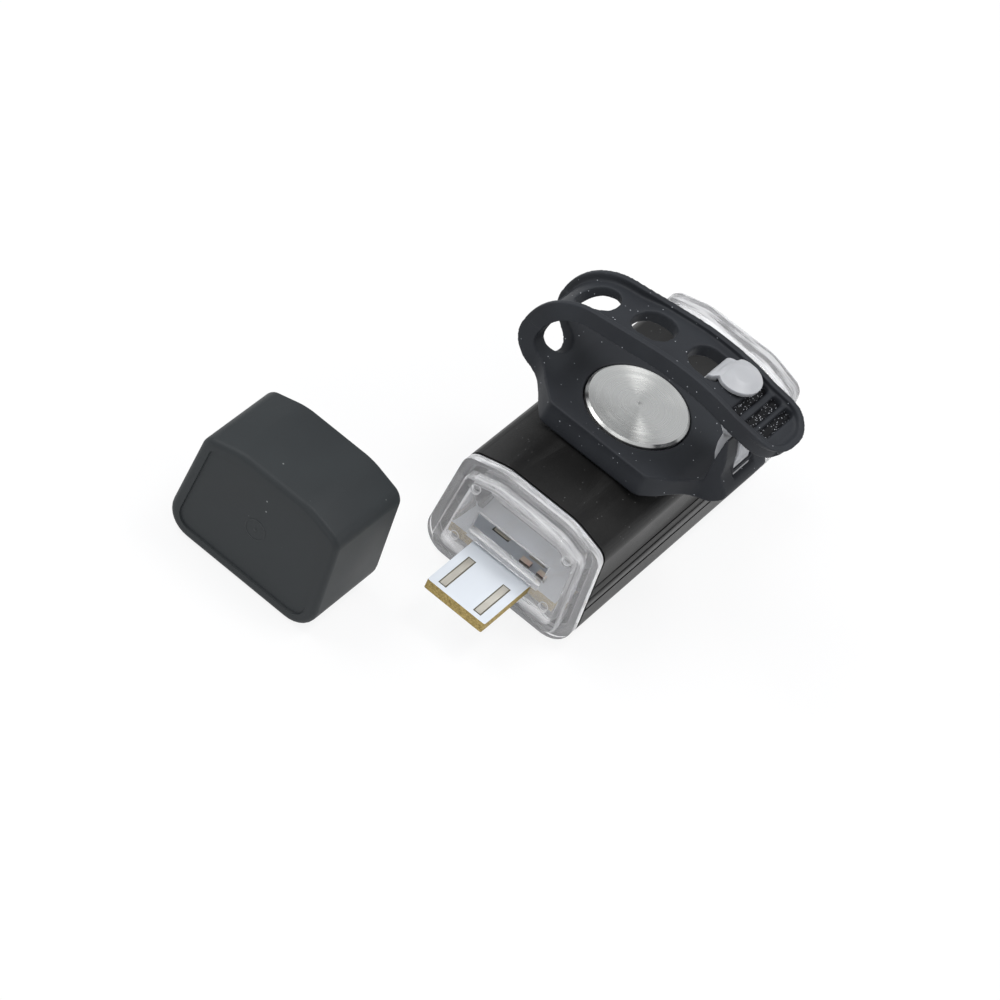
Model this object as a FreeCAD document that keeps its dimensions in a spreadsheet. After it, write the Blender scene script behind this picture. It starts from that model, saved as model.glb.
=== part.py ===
import FreeCAD, Part
import math
import os
import Sketcher

# Rechargeable bicycle light with a bare board plug, a hook strap and a loose plug cap.
# It lies on its flat face with the strap side up, as it is stored. Millimetres.
# Origin: centre of the flat resting face. +Y is the beam, +Z points to the strap, +X is the
# side that the strap's hook is on.

Vector = FreeCAD.Vector

# Driving sizes. Each one is written once and the rest follows from them.
SIZES = [
    # Case outline, seen along the beam
    ("body_length", 63.8, "rear end face to front lens face"),
    ("body_height", 23.6, "flat resting face to the crown"),
    ("base_half", 15.55, "half width at the resting face, before rounding"),
    ("shoulder_half", 14.05, "half width where side and crown meet"),
    ("crown_fall", 2.25, "fall of the crown from its flat middle to the shoulders"),
    ("crown_half", 7.0, "half width of the flat middle of the crown"),
    ("base_round", 4.8, "corner radius beside the resting face"),
    ("shoulder_round", 2.6, "corner radius at the shoulder"),
    ("crown_round", 10.0, "soft bend at the edge of the crown"),
    ("wall", 1.5, "wall of the extruded case"),
    ("seal_thick", 0.5, "seal between case and each clear end"),
    ("seal_inset", 0.3, "how far a seal stays behind the outline"),
    # Side grooves and card guides
    ("groove_level", 8.4, "height of the lowest side groove"),
    ("groove_pitch", 2.6, "from one side groove to the next"),
    ("groove_width", 0.6, "width of a side groove"),
    ("groove_depth", 0.6, "depth of a side groove"),
    ("guide_half", 9.7, "half distance between the card guides"),
    ("guide_thick", 1.1, "thickness of a card guide"),
    # Clear rear end
    ("flange_thick", 1.6, "flange against the case"),
    ("block_proud", 2.0, "raised block beyond the flange"),
    ("block_inset", 2.1, "raised block inside the outline"),
    ("block_wall", 1.5, "side wall of the raised block"),
    ("block_front", 1.0, "front wall of the raised block"),
    ("spigot_length", 3.0, "how far a clear end reaches into the case"),
    ("spigot_gap", 0.15, "clearance of a spigot in the case"),
    ("window_half", 7.4, "half width of the window above the plug"),
    ("window_low", 10.9, "lower edge of the window"),
    ("window_tall", 3.9, "height of the window"),
    ("lip_radius", 0.85, "round lip between plug and window"),
    ("mark_radius", 0.9, "round ejector marks"),
    ("mark_half", 9.5, "half distance between the ejector marks"),
    ("mark_low", 6.9, "height of the lower ejector marks"),
    ("mark_drop", 5.2, "upper ejector marks below the crown"),
    # Front lens and its optics
    ("lens_proud", 5.5, "front lens beyond its seal"),
    ("lens_front", 2.2, "front wall of the front lens"),
    ("lens_skirt", 1.3, "skirt of the front lens"),
    ("lens_bevel", 0.8, "bevelled front edge of the lens"),
    ("bowl_mouth", 7.8, "radius of the reflector's mouth"),
    ("bowl_throat", 2.4, "radius of the reflector's throat"),
    ("bowl_depth", 5.6, "depth of the reflector"),
    ("bowl_wall", 0.9, "wall of the reflector"),
    ("mirror_plate", 1.0, "plate around the reflector"),
    ("led_board_thick", 1.6, "metal board of the emitter"),
    ("led_board_half", 9.5, "half width of that board"),
    ("led_board_drop", 2.3, "that board below the inside of the crown"),
    ("spreader_thick", 2.0, "aluminium heat spreader"),
    ("emitter_side", 3.0, "emitter package"),
    ("emitter_thick", 0.6, "emitter package"),
    ("emitter_dome", 1.2, "radius of the emitter's dome"),
    # Main board, whose tongue is the plug
    ("plug_width", 12.0, "width of a USB A tongue"),
    ("plug_thick", 2.1, "thickness of the board"),
    ("plug_length", 12.8, "tongue beyond the raised block"),
    ("plug_round", 1.2, "front corners of the tongue"),
    ("plug_gap", 0.15, "clearance of the tongue in its slot"),
    ("board_top", 8.9, "height of the board's upper face"),
    ("board_half", 11.0, "half width inside the case"),
    ("fit_gap", 0.1, "clearance of pieces that slide together"),
    ("board_margin", 2.0, "parts inside the board's edge"),
    ("chip_side", 5.0, "charger and driver"),
    ("coil_side", 6.0, "coil"),
    ("small_side", 2.6, "small parts"),
    ("lamp_side", 2.0, "indicator lamp"),
    ("lamp_first", 1.6, "first indicator lamp from the middle"),
    ("lamp_pitch", 3.6, "from one indicator lamp to the next"),
    ("contact_width", 1.15, "plug contact"),
    ("contact_length", 8.2, "plug contact"),
    ("contact_half", 3.65, "half distance between the contacts"),
    ("contact_back", 1.15, "contact behind the tongue's front"),
    ("contact_sunk", 0.06, "depth of a contact in the board"),
    ("contact_thick", 0.1, "thickness of a contact"),
    # Battery
    ("battery_half", 10.0, "half width of the cell"),
    ("battery_room", 1.4, "free length in front of the cell"),
    ("battery_over", 1.0, "free height over the cell, under the nut"),
    ("battery_round", 1.8, "rounded edges of the cell"),
    ("battery_back", 2.8, "cell in front of the rear end's spigot"),
    ("pad_thick", 2.1, "foam pad under the cell"),
    ("pad_inset", 2.0, "foam pad inside the cell's outline"),
    ("tab_half", 4.0, "half distance between the nickel strips"),
    ("tab_width", 2.0, "nickel strip"),
    ("tab_thick", 0.25, "nickel strip"),
    ("lead_half", 7.5, "half distance between the emitter's leads"),
    ("lead_radius", 0.5, "insulated lead"),
    ("lead_start", 2.4, "leads begin behind the heat spreader"),
    # Switch in the flat face
    ("switch_place", -14.0, "switch along the beam"),
    ("switch_side", 6.0, "square switch body"),
    ("switch_thick", 3.4, "height of the switch body"),
    ("plunger_radius", 1.65, "radius of the switch plunger"),
    ("plunger_proud", 0.7, "plunger out of the switch body"),
    ("plunger_sunk", 0.6, "plunger inside the switch body"),
    ("button_radius", 4.0, "radius of the button"),
    ("button_recess", 0.3, "button behind the flat face"),
    ("button_rim", 1.0, "rim that keeps the button in"),
    ("button_rim_thick", 0.6, "thickness of that rim"),
    ("button_travel", 0.5, "travel of the button"),
    # Pivot of the strap
    ("pivot_place", -5.1, "strap pivot along the beam"),
    ("disc_radius", 9.1, "radius of the turned disc"),
    ("disc_thick", 1.2, "thickness of the turned disc"),
    ("disc_bevel", 0.4, "bevel of the turned disc"),
    ("shank_radius", 2.5, "screw shank under the disc"),
    ("bushing_radius", 3.5, "sleeve around the shank"),
    ("running_gap", 0.05, "radial clearance of the strap on its sleeve"),
    ("washer_radius", 7.5, "friction washer"),
    ("washer_thick", 0.7, "friction washer"),
    ("nut_radius", 4.6, "corner radius of the nut"),
    ("nut_thick", 1.7, "thickness of the nut"),
    # Rubber strap
    ("saddle_lift", 0.3, "saddle above the crown"),
    ("saddle_thick", 4.2, "saddle pad"),
    ("saddle_half_x", 12.5, "half length of the saddle's flat underside"),
    ("saddle_half_y", 11.9, "half width of the saddle"),
    ("saddle_flat", 10.0, "half length of the saddle's straight wall"),
    ("foot_blend", 1.0, "bend at the end of the saddle's underside"),
    ("wing_blend", 4.0, "bend from the saddle's top into a wing"),
    ("plan_round", 1.5, "corner of the saddle's straight wall, also the crease of the ear"),
    ("neck_round", 4.0, "bend where the saddle meets the strap's width"),
    ("strap_half", 6.3, "half width of the strap band"),
    ("strap_thick", 3.4, "strap band with its rims"),
    ("strap_reach", 22.3, "how far the strap's ends stand out"),
    ("wing_rise", 4.1, "rise of a wing from the saddle to its corner"),
    ("wing_round", 6.0, "outer radius of a wing's corner"),
    ("lean_round", 3.0, "bend where the left ear leans in"),
    ("lean_rise", 9.1, "height above the crown where the left ear leans in"),
    ("split_rise", 10.4, "height above the crown where the band starts to fold over"),
    ("split_reach", 22.05, "how far the strap stands out at the split"),
    ("fold_round", 12.4, "outer radius of the fold"),
    ("fold_corner_x", 20.45, "corner of the fold"),
    ("fold_corner_rise", 19.3, "corner of the fold above the crown"),
    ("top_corner_x", 8.7, "corner of the band's arch"),
    ("top_corner_rise", 23.6, "corner of the band's arch above the crown"),
    ("arch_round", 45.0, "radius of the band's arch"),
    ("tab_corner_x", 21.5, "where the tab bends down"),
    ("tab_corner_rise", 20.3, "where the tab bends down, above the crown"),
    ("tab_round", 15.0, "radius of the tab's bend"),
    ("tab_end_x", 25.7, "end of the tab"),
    ("tab_end_rise", 17.9, "end of the tab above the crown"),
    ("tab_corner", 5.4, "rounded corners of the tab"),
    ("rim_width", 1.1, "raised rim along the band"),
    ("rim_height", 1.5, "height of that rim"),
    ("hole_length", 7.4, "strap hole along the band"),
    ("hole_width", 6.8, "strap hole across the band"),
    ("hole_round", 3.1, "corner radius of a strap hole"),
    ("hole_first", 7.5, "hole that the hook is in"),
    ("hole_pitch", 11.4, "from one hole to the next"),
    ("channel_start", 0.35, "share of the left wing before the channel begins"),
    ("ear_hole_short", 0.9, "how much shorter the hole in the left ear is"),
    ("grip_first", 16.4, "first grip groove of the tab"),
    ("grip_pitch", 2.9, "from one grip groove to the next"),
    ("grip_width", 1.7, "grip groove"),
    ("grip_length", 9.8, "grip groove"),
    ("grip_depth", 0.7, "grip groove"),
    ("soft_gap", 0.3, "gap between soft pieces that move apart"),
    # Ear and hook
    ("ear_inner", 17.2, "inner face of the hook's ear"),
    ("ear_bend_rise", 11.4, "where the hook's ear leans in, above the crown"),
    ("ear_round", 6.0, "bend of the hook's ear"),
    ("ear_tip_x", 18.0, "tip of the ear"),
    ("ear_tip_round", 0.5, "rounded tip of the ear"),
    ("ear_tip_rise", 6.8, "tip of the hook's ear above that bend"),
    ("lip_drop", 1.1, "outer lip of the hook's pocket below that bend"),
    ("inner_lip_drop", 2.4, "inner lip of the hook's pocket below that bend"),
    ("hook_thick", 2.0, "hook strip"),
    ("hook_width", 5.2, "hook strip"),
    ("hook_foot_x", 19.9, "foot of the hook"),
    ("hook_foot_rise", 6.3, "bottom of the hook's foot above the crown"),
    ("hook_foot_tall", 3.6, "height of the hook's foot"),
    ("hook_neck_x", 8.9, "hook where it passes the hole"),
    ("hook_neck_rise", 17.4, "hook under the band, above the crown"),
    ("hook_top_rise", 22.9, "hook over the band, above the crown"),
    ("hook_head_x", 12.9, "centre of the hook's head"),
    ("hook_head", 3.9, "radius of the hook's head"),
    ("hook_drop", 0.7, "fall of the hook's head to its tip"),
    # Plug cap
    ("cap_x", -29.4, "place of the cap beside the plug"),
    ("cap_y", -56.3, "place of the cap beside the plug"),
    ("cap_depth", 17.3, "depth of the cap"),
    ("cap_wall", 1.7, "wall of the cap"),
    ("cap_front", 2.0, "closed face of the cap"),
    ("cap_bevel", 0.6, "bevelled edge of the closed face"),
    ("panel_inset", 2.7, "sunk panel inside the outline"),
    ("panel_depth", 0.35, "depth of the sunk panel"),
]

doc = FreeCAD.newDocument("bike_light")
sheet = doc.addObject("Spreadsheet::Sheet", "Sizes")


class Size:
    """A length that remembers its formula, so that it can drive a dimension."""

    def __init__(self, value, formula):
        self.value = value
        self.formula = formula

    def join(self, sign, other, value):
        return Size(value, "(" + self.formula + " " + sign + " " + formula_of(other) + ")")

    def __add__(self, other):
        return self.join("+", other, self.value + number(other))

    def __radd__(self, other):
        return self + other

    def __sub__(self, other):
        return self.join("-", other, self.value - number(other))

    def __rsub__(self, other):
        return -self + other

    def __mul__(self, other):
        return self.join("*", other, self.value * number(other))

    def __rmul__(self, other):
        return self * other

    def __truediv__(self, other):
        return self.join("/", other, self.value / number(other))

    def __neg__(self):
        return Size(-self.value, "(-1 * " + self.formula + ")")


def number(item):
    """Plain number of a size or a number."""
    return item.value if isinstance(item, Size) else float(item)


def formula_of(item):
    """Formula of a size or a number, for a bound property."""
    return item.formula if isinstance(item, Size) else repr(float(item))


def read_sizes():
    """Fill the sheet and return its cells by name."""
    cells = {}
    for row, (name, value, note) in enumerate(SIZES, start=1):
        sheet.set("A" + str(row), name)
        sheet.set("B" + str(row), str(value))
        sheet.setAlias("B" + str(row), name)
        sheet.set("C" + str(row), note)
        cells[name] = Size(float(value), "Sizes." + name)
    doc.recompute()
    return cells


dim = read_sizes()


def bind(item, name, size):
    """Tie a property of an object to a size."""
    item.setExpression(name, formula_of(size))


# Planes of a body, the row directions of a sketch on each, and where a sketch on it has to lie
# so that a pad or a pocket fills the stretch from start to start + length.
PLANES = {"x": "YZ_Plane", "y": "XZ_Plane", "z": "XY_Plane"}


def new_body(label):
    """Empty body for one piece."""
    body = doc.addObject("PartDesign::Body", label)
    body.Label = label
    return body


def sketch_in(body, along, offset):
    """Sketch square to a direction, at a distance along it."""
    planes = [item for item in body.Origin.OriginFeatures if item.Role == PLANES[along]]
    sketch = body.newObject("Sketcher::SketchObject", body.Name + "_sketch")
    sketch.AttachmentSupport = [(planes[0], "")]
    sketch.MapMode = "FlatFace"
    away = -offset if along == "y" else offset
    bind(sketch, "AttachmentOffset.Base.z", away)
    return sketch


def corner_arc(before, corner, after, radius):
    """Tangent points, centre and middle of the arc that rounds one corner of a path."""
    to_before = (before - corner).normalize()
    to_after = (after - corner).normalize()
    half_angle = to_before.getAngle(to_after) / 2
    reach = radius / math.tan(half_angle)
    inward = (to_before + to_after).normalize()
    centre = corner + inward * (radius / math.sin(half_angle))
    start = corner + to_before * reach
    end = corner + to_after * reach
    return start, centre, end, centre - inward * radius


def draw_outline(sketch, corners):
    """Closed outline of (x, y, radius) corners, all of them tied to their sizes."""
    count = len(corners)
    points = [Vector(number(x), number(y), 0) for x, y, radius in corners]
    frame = sketch.GeometryCount
    for i in range(count):
        sketch.addGeometry(Part.LineSegment(points[i], points[(i + 1) % count]), True)
    for i in range(count):
        sketch.addConstraint(Sketcher.Constraint("Coincident", frame + i, 2, frame + (i + 1) % count, 1))
    for i, (x, y, radius) in enumerate(corners):
        for kind, size in (("DistanceX", x), ("DistanceY", y)):
            index = sketch.addConstraint(Sketcher.Constraint(kind, -1, 1, frame + i, 1, number(size)))
            bind(sketch, "Constraints[" + str(index) + "]", size)
    arcs = []
    for i, (x, y, radius) in enumerate(corners):
        before, after = points[i - 1], points[(i + 1) % count]
        arcs.append(corner_arc(before, points[i], after, number(radius)) if number(radius) > 0 else None)
    sides = []
    for i in range(count):
        follow = (i + 1) % count
        start = arcs[i][2] if arcs[i] else points[i]
        end = arcs[follow][0] if arcs[follow] else points[follow]
        side = sketch.addGeometry(Part.LineSegment(start, end), False)
        sides.append(side)
        sketch.addConstraint(Sketcher.Constraint("PointOnObject", side, 1, frame + i))
        sketch.addConstraint(Sketcher.Constraint("PointOnObject", side, 2, frame + i))
    for i, (x, y, radius) in enumerate(corners):
        last, side = sides[i - 1], sides[i]
        if not arcs[i]:
            sketch.addConstraint(Sketcher.Constraint("Coincident", last, 2, side, 1))
            continue
        start, centre, end, middle = arcs[i]
        turn = (points[i] - points[i - 1]).cross(points[(i + 1) % count] - points[i]).z
        from_angle = math.atan2(start.y - centre.y, start.x - centre.x)
        to_angle = math.atan2(end.y - centre.y, end.x - centre.x)
        if turn < 0:
            from_angle, to_angle = to_angle, from_angle
        circle = Part.Circle(centre, Vector(0, 0, 1), number(radius))
        arc = sketch.addGeometry(Part.ArcOfCircle(circle, from_angle, to_angle), False)
        first_end, last_end = (1, 2) if turn > 0 else (2, 1)
        sketch.addConstraint(Sketcher.Constraint("Tangent", last, 2, arc, first_end))
        sketch.addConstraint(Sketcher.Constraint("Tangent", arc, last_end, side, 1))
        index = sketch.addConstraint(Sketcher.Constraint("Radius", arc, number(radius)))
        bind(sketch, "Constraints[" + str(index) + "]", radius)


def draw_circle(sketch, x, y, radius):
    """Circle tied to its sizes."""
    circle = Part.Circle(Vector(number(x), number(y), 0), Vector(0, 0, 1), number(radius))
    item = sketch.addGeometry(circle, False)
    values = (("DistanceX", x), ("DistanceY", y))
    for kind, size in values:
        index = sketch.addConstraint(Sketcher.Constraint(kind, -1, 1, item, 3, number(size)))
        bind(sketch, "Constraints[" + str(index) + "]", size)
    index = sketch.addConstraint(Sketcher.Constraint("Radius", item, number(radius)))
    bind(sketch, "Constraints[" + str(index) + "]", radius)


def rectangle(left, right, low, high, radius=0):
    """Corners of a rectangle, each with the same radius."""
    return [(left, low, radius), (right, low, radius), (right, high, radius), (left, high, radius)]


def extrude(body, along, start, length, outlines, kind="Pad"):
    """Pad or pocket that fills start to start + length. Circles are (x, y, radius) tuples."""
    before = body.Shape.Volume if body.Tip else 0.0
    pads_back = along == "y"
    at_end = pads_back if kind == "Pad" else not pads_back
    offset = start + length if at_end else start + 0
    sketch = sketch_in(body, along, offset)
    for outline in outlines:
        if isinstance(outline, tuple):
            draw_circle(sketch, *outline)
        else:
            draw_outline(sketch, outline)
    feature = body.newObject("PartDesign::" + kind, body.Name + "_" + kind.lower())
    feature.Profile = sketch
    bind(feature, "Length", length)
    sketch.Visibility = False
    doc.recompute()
    changed = feature.Shape.Volume - before
    if (kind == "Pad" and changed <= 0) or (kind == "Pocket" and changed >= 0):
        raise ValueError(feature.Name + " changes nothing")
    return feature


def spin(body, along, offset, axis, corners):
    """Revolved profile about the sketch's own H_Axis or V_Axis."""
    sketch = sketch_in(body, along, offset)
    draw_outline(sketch, corners)
    feature = body.newObject("PartDesign::Revolution", body.Name + "_spin")
    feature.Profile = sketch
    feature.ReferenceAxis = (sketch, [axis])
    feature.Angle = 360
    sketch.Visibility = False
    doc.recompute()
    return feature, sketch


def edges_where(shape, test):
    """Names of the edges that pass a test on their box."""
    return ["Edge" + str(i) for i, edge in enumerate(shape.Edges, start=1) if test(edge)]


def dress(body, kind, size_name, size, test):
    """Fillet or chamfer on the edges of the body's last feature that pass a test."""
    base = body.Tip
    names = edges_where(base.Shape, test)
    feature = body.newObject("PartDesign::" + kind, body.Name + "_" + kind.lower())
    feature.Base = (base, names)
    bind(feature, size_name, size)
    doc.recompute()
    return feature


def at_level(edge, axis, level, tolerance=0.001):
    """True for an edge that lies wholly at one level of X, Y or Z."""
    box = edge.BoundBox
    low, high = {"x": (box.XMin, box.XMax), "y": (box.YMin, box.YMax), "z": (box.ZMin, box.ZMax)}[axis]
    return abs(low - number(level)) < tolerance and abs(high - number(level)) < tolerance


def place(item, x, y, z):
    """Tie an object's place to sizes."""
    for name, size in (("x", x), ("y", y), ("z", z)):
        bind(item, "Placement.Base." + name, size)


def block(name, x, y, z, wide, long, tall):
    """Box from its lowest corner."""
    item = doc.addObject("Part::Box", name)
    bind(item, "Length", wide)
    bind(item, "Width", long)
    bind(item, "Height", tall)
    place(item, x, y, z)
    return item


def rod(name, x, y, z, radius, length):
    """Upright cylinder from the centre of its lower face."""
    item = doc.addObject("Part::Cylinder", name)
    bind(item, "Radius", radius)
    bind(item, "Height", length)
    place(item, x, y, z)
    return item


def rod_along_y(name, x, y, z, radius, length):
    """Cylinder along the beam, from the centre of its rear face."""
    item = rod(name, x, y, z, radius, length)
    item.Placement.Rotation = FreeCAD.Rotation(Vector(1, 0, 0), -90)
    return item


def cut(label, base, tool):
    """One shape less another."""
    item = doc.addObject("Part::Cut", label)
    item.Label = label
    item.Base = base
    item.Tool = tool
    return item


def fuse(label, items):
    """Shapes joined into one."""
    item = doc.addObject("Part::MultiFuse", label)
    item.Label = label
    item.Shapes = items
    return item


def group(label, items):
    """Separate solids kept as one sub-part."""
    item = doc.addObject("Part::Compound", label)
    item.Label = label
    item.Links = items
    return item


zero = Size(0.0, "0.0")

# The case outline, and the same outline moved in by an inset. Each corner moves along the
# mitre of its two sides, worked out from the slopes of those sides.
side_run = dim["base_half"] - dim["shoulder_half"]
crown_run = dim["shoulder_half"] - dim["crown_half"]
shoulder_level = dim["body_height"] - dim["crown_fall"]


def mitres():
    """How far each corner moves in x and z for an inset of 1."""
    side = Vector(-number(side_run), 0, number(shoulder_level)).normalize()
    crown = Vector(-number(crown_run), 0, number(dim["crown_fall"])).normalize()
    inward_side = Vector(-side.z, 0, side.x)
    inward_crown = Vector(-crown.z, 0, crown.x)
    moves = {}
    pairs = {
        "base": (Vector(0, 0, 1), inward_side),
        "shoulder": (inward_side, inward_crown),
        "crown": (inward_crown, Vector(0, 0, -1)),
    }
    for name, (first, second) in pairs.items():
        moves[name] = (first + second) * (1 / (1 + first.dot(second)))
    return moves


MITRE = mitres()


def case_outline(inset):
    """The case outline moved in, from the lower left corner round."""
    level = {"base": 0, "shoulder": shoulder_level, "crown": dim["body_height"]}
    half = {"base": dim["base_half"], "shoulder": dim["shoulder_half"], "crown": dim["crown_half"]}
    radius = {
        "base": dim["base_round"] - inset,
        "shoulder": dim["shoulder_round"] - inset * 0.5,
        "crown": dim["crown_round"] - inset,
    }
    corners = []
    right = ("base", "shoulder", "crown")
    around = [("base", -1)] + [(name, 1) for name in right] + [("crown", -1), ("shoulder", -1)]
    for name, sign in around:
        x = (half[name] + inset * MITRE[name].x) * sign
        z = level[name] + inset * MITRE[name].z
        corners.append((x, z, radius[name]))
    return corners


def side_at(level):
    """Half width of the case at a height."""
    return dim["base_half"] - side_run * (level / shoulder_level)


rear_face = -dim["body_length"] / 2
front_face = dim["body_length"] / 2
block_face = rear_face - dim["block_proud"]
flange_front = rear_face + dim["flange_thick"]
shell_rear = flange_front + dim["seal_thick"]
lens_rear = front_face - dim["lens_proud"]
shell_front = lens_rear - dim["seal_thick"]
shell_length = shell_front - shell_rear
board_low = dim["board_top"] - dim["plug_thick"]
spigot_inset = dim["wall"] + dim["spigot_gap"]
rear_hollow = dim["block_inset"] + dim["block_wall"]
front_hollow = spigot_inset + dim["lens_skirt"]
rear_spigot_end = shell_rear + dim["spigot_length"]
front_spigot_end = shell_front - dim["spigot_length"]
mirror_front = front_spigot_end - dim["fit_gap"] * 2
mirror_rear = mirror_front - dim["mirror_plate"]
bowl_rear = mirror_front - dim["bowl_depth"]
led_board_front = bowl_rear - dim["fit_gap"]
led_board_rear = led_board_front - dim["led_board_thick"]
spreader_rear = led_board_rear - dim["spreader_thick"]
board_front_end = spreader_rear - dim["fit_gap"] * 3
optic_level = dim["body_height"] / 2
crown_inside = dim["body_height"] - dim["wall"]
nut_low = crown_inside - dim["nut_thick"]
battery_low = dim["board_top"] + dim["pad_thick"]
battery_top = nut_low - dim["battery_over"]
battery_rear = rear_spigot_end + dim["battery_back"]
battery_front = spreader_rear - dim["battery_room"]
lead_level = dim["board_top"] + dim["lead_radius"]
past = 1.0


def make_body_shell():
    """Extruded case: tube with side grooves, card guides, pivot hole and button hole."""
    body = new_body("body_shell")
    extrude(body, "y", shell_rear, shell_length, [case_outline(zero)])
    extrude(body, "y", shell_rear - past, shell_length + 2 * past, [case_outline(dim["wall"])], "Pocket")
    guide_root = dim["base_half"] - dim["wall"]
    low_guide = board_low - dim["fit_gap"] - dim["guide_thick"]
    high_guide = dim["board_top"] + dim["fit_gap"]
    guides = []
    for low in (low_guide, high_guide):
        guides.append(rectangle(-guide_root, -dim["guide_half"], low, low + dim["guide_thick"]))
        guides.append(rectangle(dim["guide_half"], guide_root, low, low + dim["guide_thick"]))
    guide_start = rear_spigot_end + past
    extrude(body, "y", guide_start, spreader_rear - past - guide_start, guides)
    grooves = []
    for step in range(3):
        low = dim["groove_level"] + dim["groove_pitch"] * step - dim["groove_width"] / 2
        inner = side_at(low) - dim["groove_depth"]
        outer = side_at(low) + past
        grooves.append(rectangle(inner, outer, low, low + dim["groove_width"]))
        grooves.append(rectangle(-outer, -inner, low, low + dim["groove_width"]))
    extrude(body, "y", shell_rear - past, shell_length + 2 * past, grooves, "Pocket")
    pivot_hole = (zero, dim["pivot_place"], dim["shank_radius"] + dim["fit_gap"])
    extrude(body, "z", crown_inside - past, dim["wall"] + 2 * past, [pivot_hole], "Pocket")
    button_hole = (zero, dim["switch_place"], dim["button_radius"] + dim["fit_gap"])
    extrude(body, "z", Size(-past, str(-past)), dim["wall"] + 2 * past, [button_hole], "Pocket")
    return body


def make_rear_end_lens():
    """Clear rear end: flange, raised hollow block with plug slot and window, spigot."""
    body = new_body("rear_end_lens")
    extrude(body, "y", rear_face, dim["flange_thick"], [case_outline(zero)])
    extrude(body, "y", block_face, dim["block_proud"] + past, [case_outline(dim["block_inset"])])
    reach = rear_spigot_end - rear_face
    extrude(body, "y", rear_face, reach, [case_outline(spigot_inset)])
    hollow_start = block_face + dim["block_front"]
    hollow_length = rear_spigot_end + past - hollow_start
    extrude(body, "y", hollow_start, hollow_length, [case_outline(rear_hollow)], "Pocket")
    slot_half = dim["plug_width"] / 2 + dim["plug_gap"]
    slot = rectangle(-slot_half, slot_half, board_low - dim["plug_gap"], dim["board_top"] + dim["plug_gap"])
    window_half = dim["window_half"]
    window_low = dim["window_low"]
    window = rectangle(-window_half, window_half, window_low, window_low + dim["window_tall"])
    extrude(body, "y", block_face - past, dim["block_front"] + 2 * past, [slot, window], "Pocket")
    round_lip = dim["lip_radius"]
    lip_level = (dim["board_top"] + dim["plug_gap"] + window_low) / 2
    lip_low = lip_level - round_lip
    lip_front = block_face - round_lip / 2
    lip = rectangle(lip_front, block_face + round_lip, lip_low, lip_low + round_lip * 2, round_lip * 0.7)
    extrude(body, "x", -window_half, window_half * 2, [lip])
    marks = []
    for sign in (-1, 1):
        for level in (dim["mark_low"], dim["body_height"] - dim["mark_drop"]):
            marks.append((dim["mark_half"] * sign, level, dim["mark_radius"]))
    mark_depth = dim["block_front"] * 0.35
    extrude(body, "y", block_face - past, mark_depth + past, marks, "Pocket")
    dress(body, "Chamfer", "Size", dim["block_front"] * 0.4, block_rim)
    return body


def block_rim(edge):
    """Edges of the raised block's front face, on its outer outline."""
    box = edge.BoundBox
    if edge.isClosed() or not at_level(edge, "y", block_face):
        return False
    inside = dim["block_inset"]
    low = number(inside) * 1.001
    high = number(dim["body_height"] - inside)
    half = number(dim["shoulder_half"] - inside * 2)
    at_side = min(abs(box.XMin), abs(box.XMax)) > half
    at_top = box.ZMax > number(shoulder_level - inside)
    return at_side or at_top or box.ZMax <= low or abs(box.ZMax - high) < 0.001


def make_ring(label, start):
    """Flat seal that follows the case wall."""
    body = new_body(label)
    outline = [case_outline(dim["seal_inset"]), case_outline(dim["wall"])]
    extrude(body, "y", start, dim["seal_thick"], outline)
    return body


def make_front_lens():
    """Clear front cover with a bevelled edge and a hollow back."""
    body = new_body("front_lens")
    extrude(body, "y", lens_rear, dim["lens_proud"], [case_outline(zero)])
    dress(body, "Chamfer", "Size", dim["lens_bevel"], lambda edge: at_level(edge, "y", front_face))
    extrude(body, "y", front_spigot_end, lens_rear + past - front_spigot_end, [case_outline(spigot_inset)])
    hollow = front_face - dim["lens_front"] - front_spigot_end + past
    extrude(body, "y", front_spigot_end - past, hollow, [case_outline(front_hollow)], "Pocket")
    return body


def make_front_reflector():
    """Mirror bowl in a plate that fills the case behind the lens."""
    body = new_body("front_reflector")
    mouth = (zero, optic_level, dim["bowl_mouth"])
    plate = case_outline(dim["wall"] + dim["fit_gap"])
    extrude(body, "y", mirror_rear, dim["mirror_plate"], [plate, mouth])
    middle = (bowl_rear + mirror_front) / 2
    wall = dim["bowl_wall"]
    swell = (dim["bowl_mouth"] + dim["bowl_throat"]) / 2 + wall
    profile = [
        (bowl_rear, dim["bowl_throat"], 0),
        (middle, swell, 0),
        (mirror_front, dim["bowl_mouth"], 0),
        (mirror_front, dim["bowl_mouth"] + wall, 0),
        (middle, swell + wall, 0),
        (bowl_rear, dim["bowl_throat"] + wall, 0),
    ]
    feature, sketch = spin(body, "x", zero, "H_Axis", profile)
    bind(sketch, "AttachmentOffset.Base.y", optic_level)
    return body


def make_led_board():
    """Metal board that carries the emitter."""
    body = new_body("led_board")
    half = dim["led_board_half"]
    high = crown_inside - dim["led_board_drop"]
    plate = rectangle(-half, half, optic_level * 2 - high, high, dim["emitter_side"] * 0.7)
    extrude(body, "y", led_board_rear, dim["led_board_thick"], [plate])
    return body


def make_led_emitter():
    """Square emitter package with a clear dome."""
    half = dim["emitter_side"] / 2
    package = block("emitter_package", -half, led_board_front, optic_level - half,
                    dim["emitter_side"], dim["emitter_thick"], dim["emitter_side"])
    dome = doc.addObject("Part::Sphere", "emitter_dome")
    bind(dome, "Radius", dim["emitter_dome"])
    place(dome, zero, led_board_front + dim["emitter_thick"], optic_level)
    side = dim["emitter_side"]
    behind = block("behind_board", -half, led_board_front - side, optic_level - half, side, side, side)
    return cut("led_emitter", fuse("emitter_whole", [package, dome]), behind)


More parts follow.
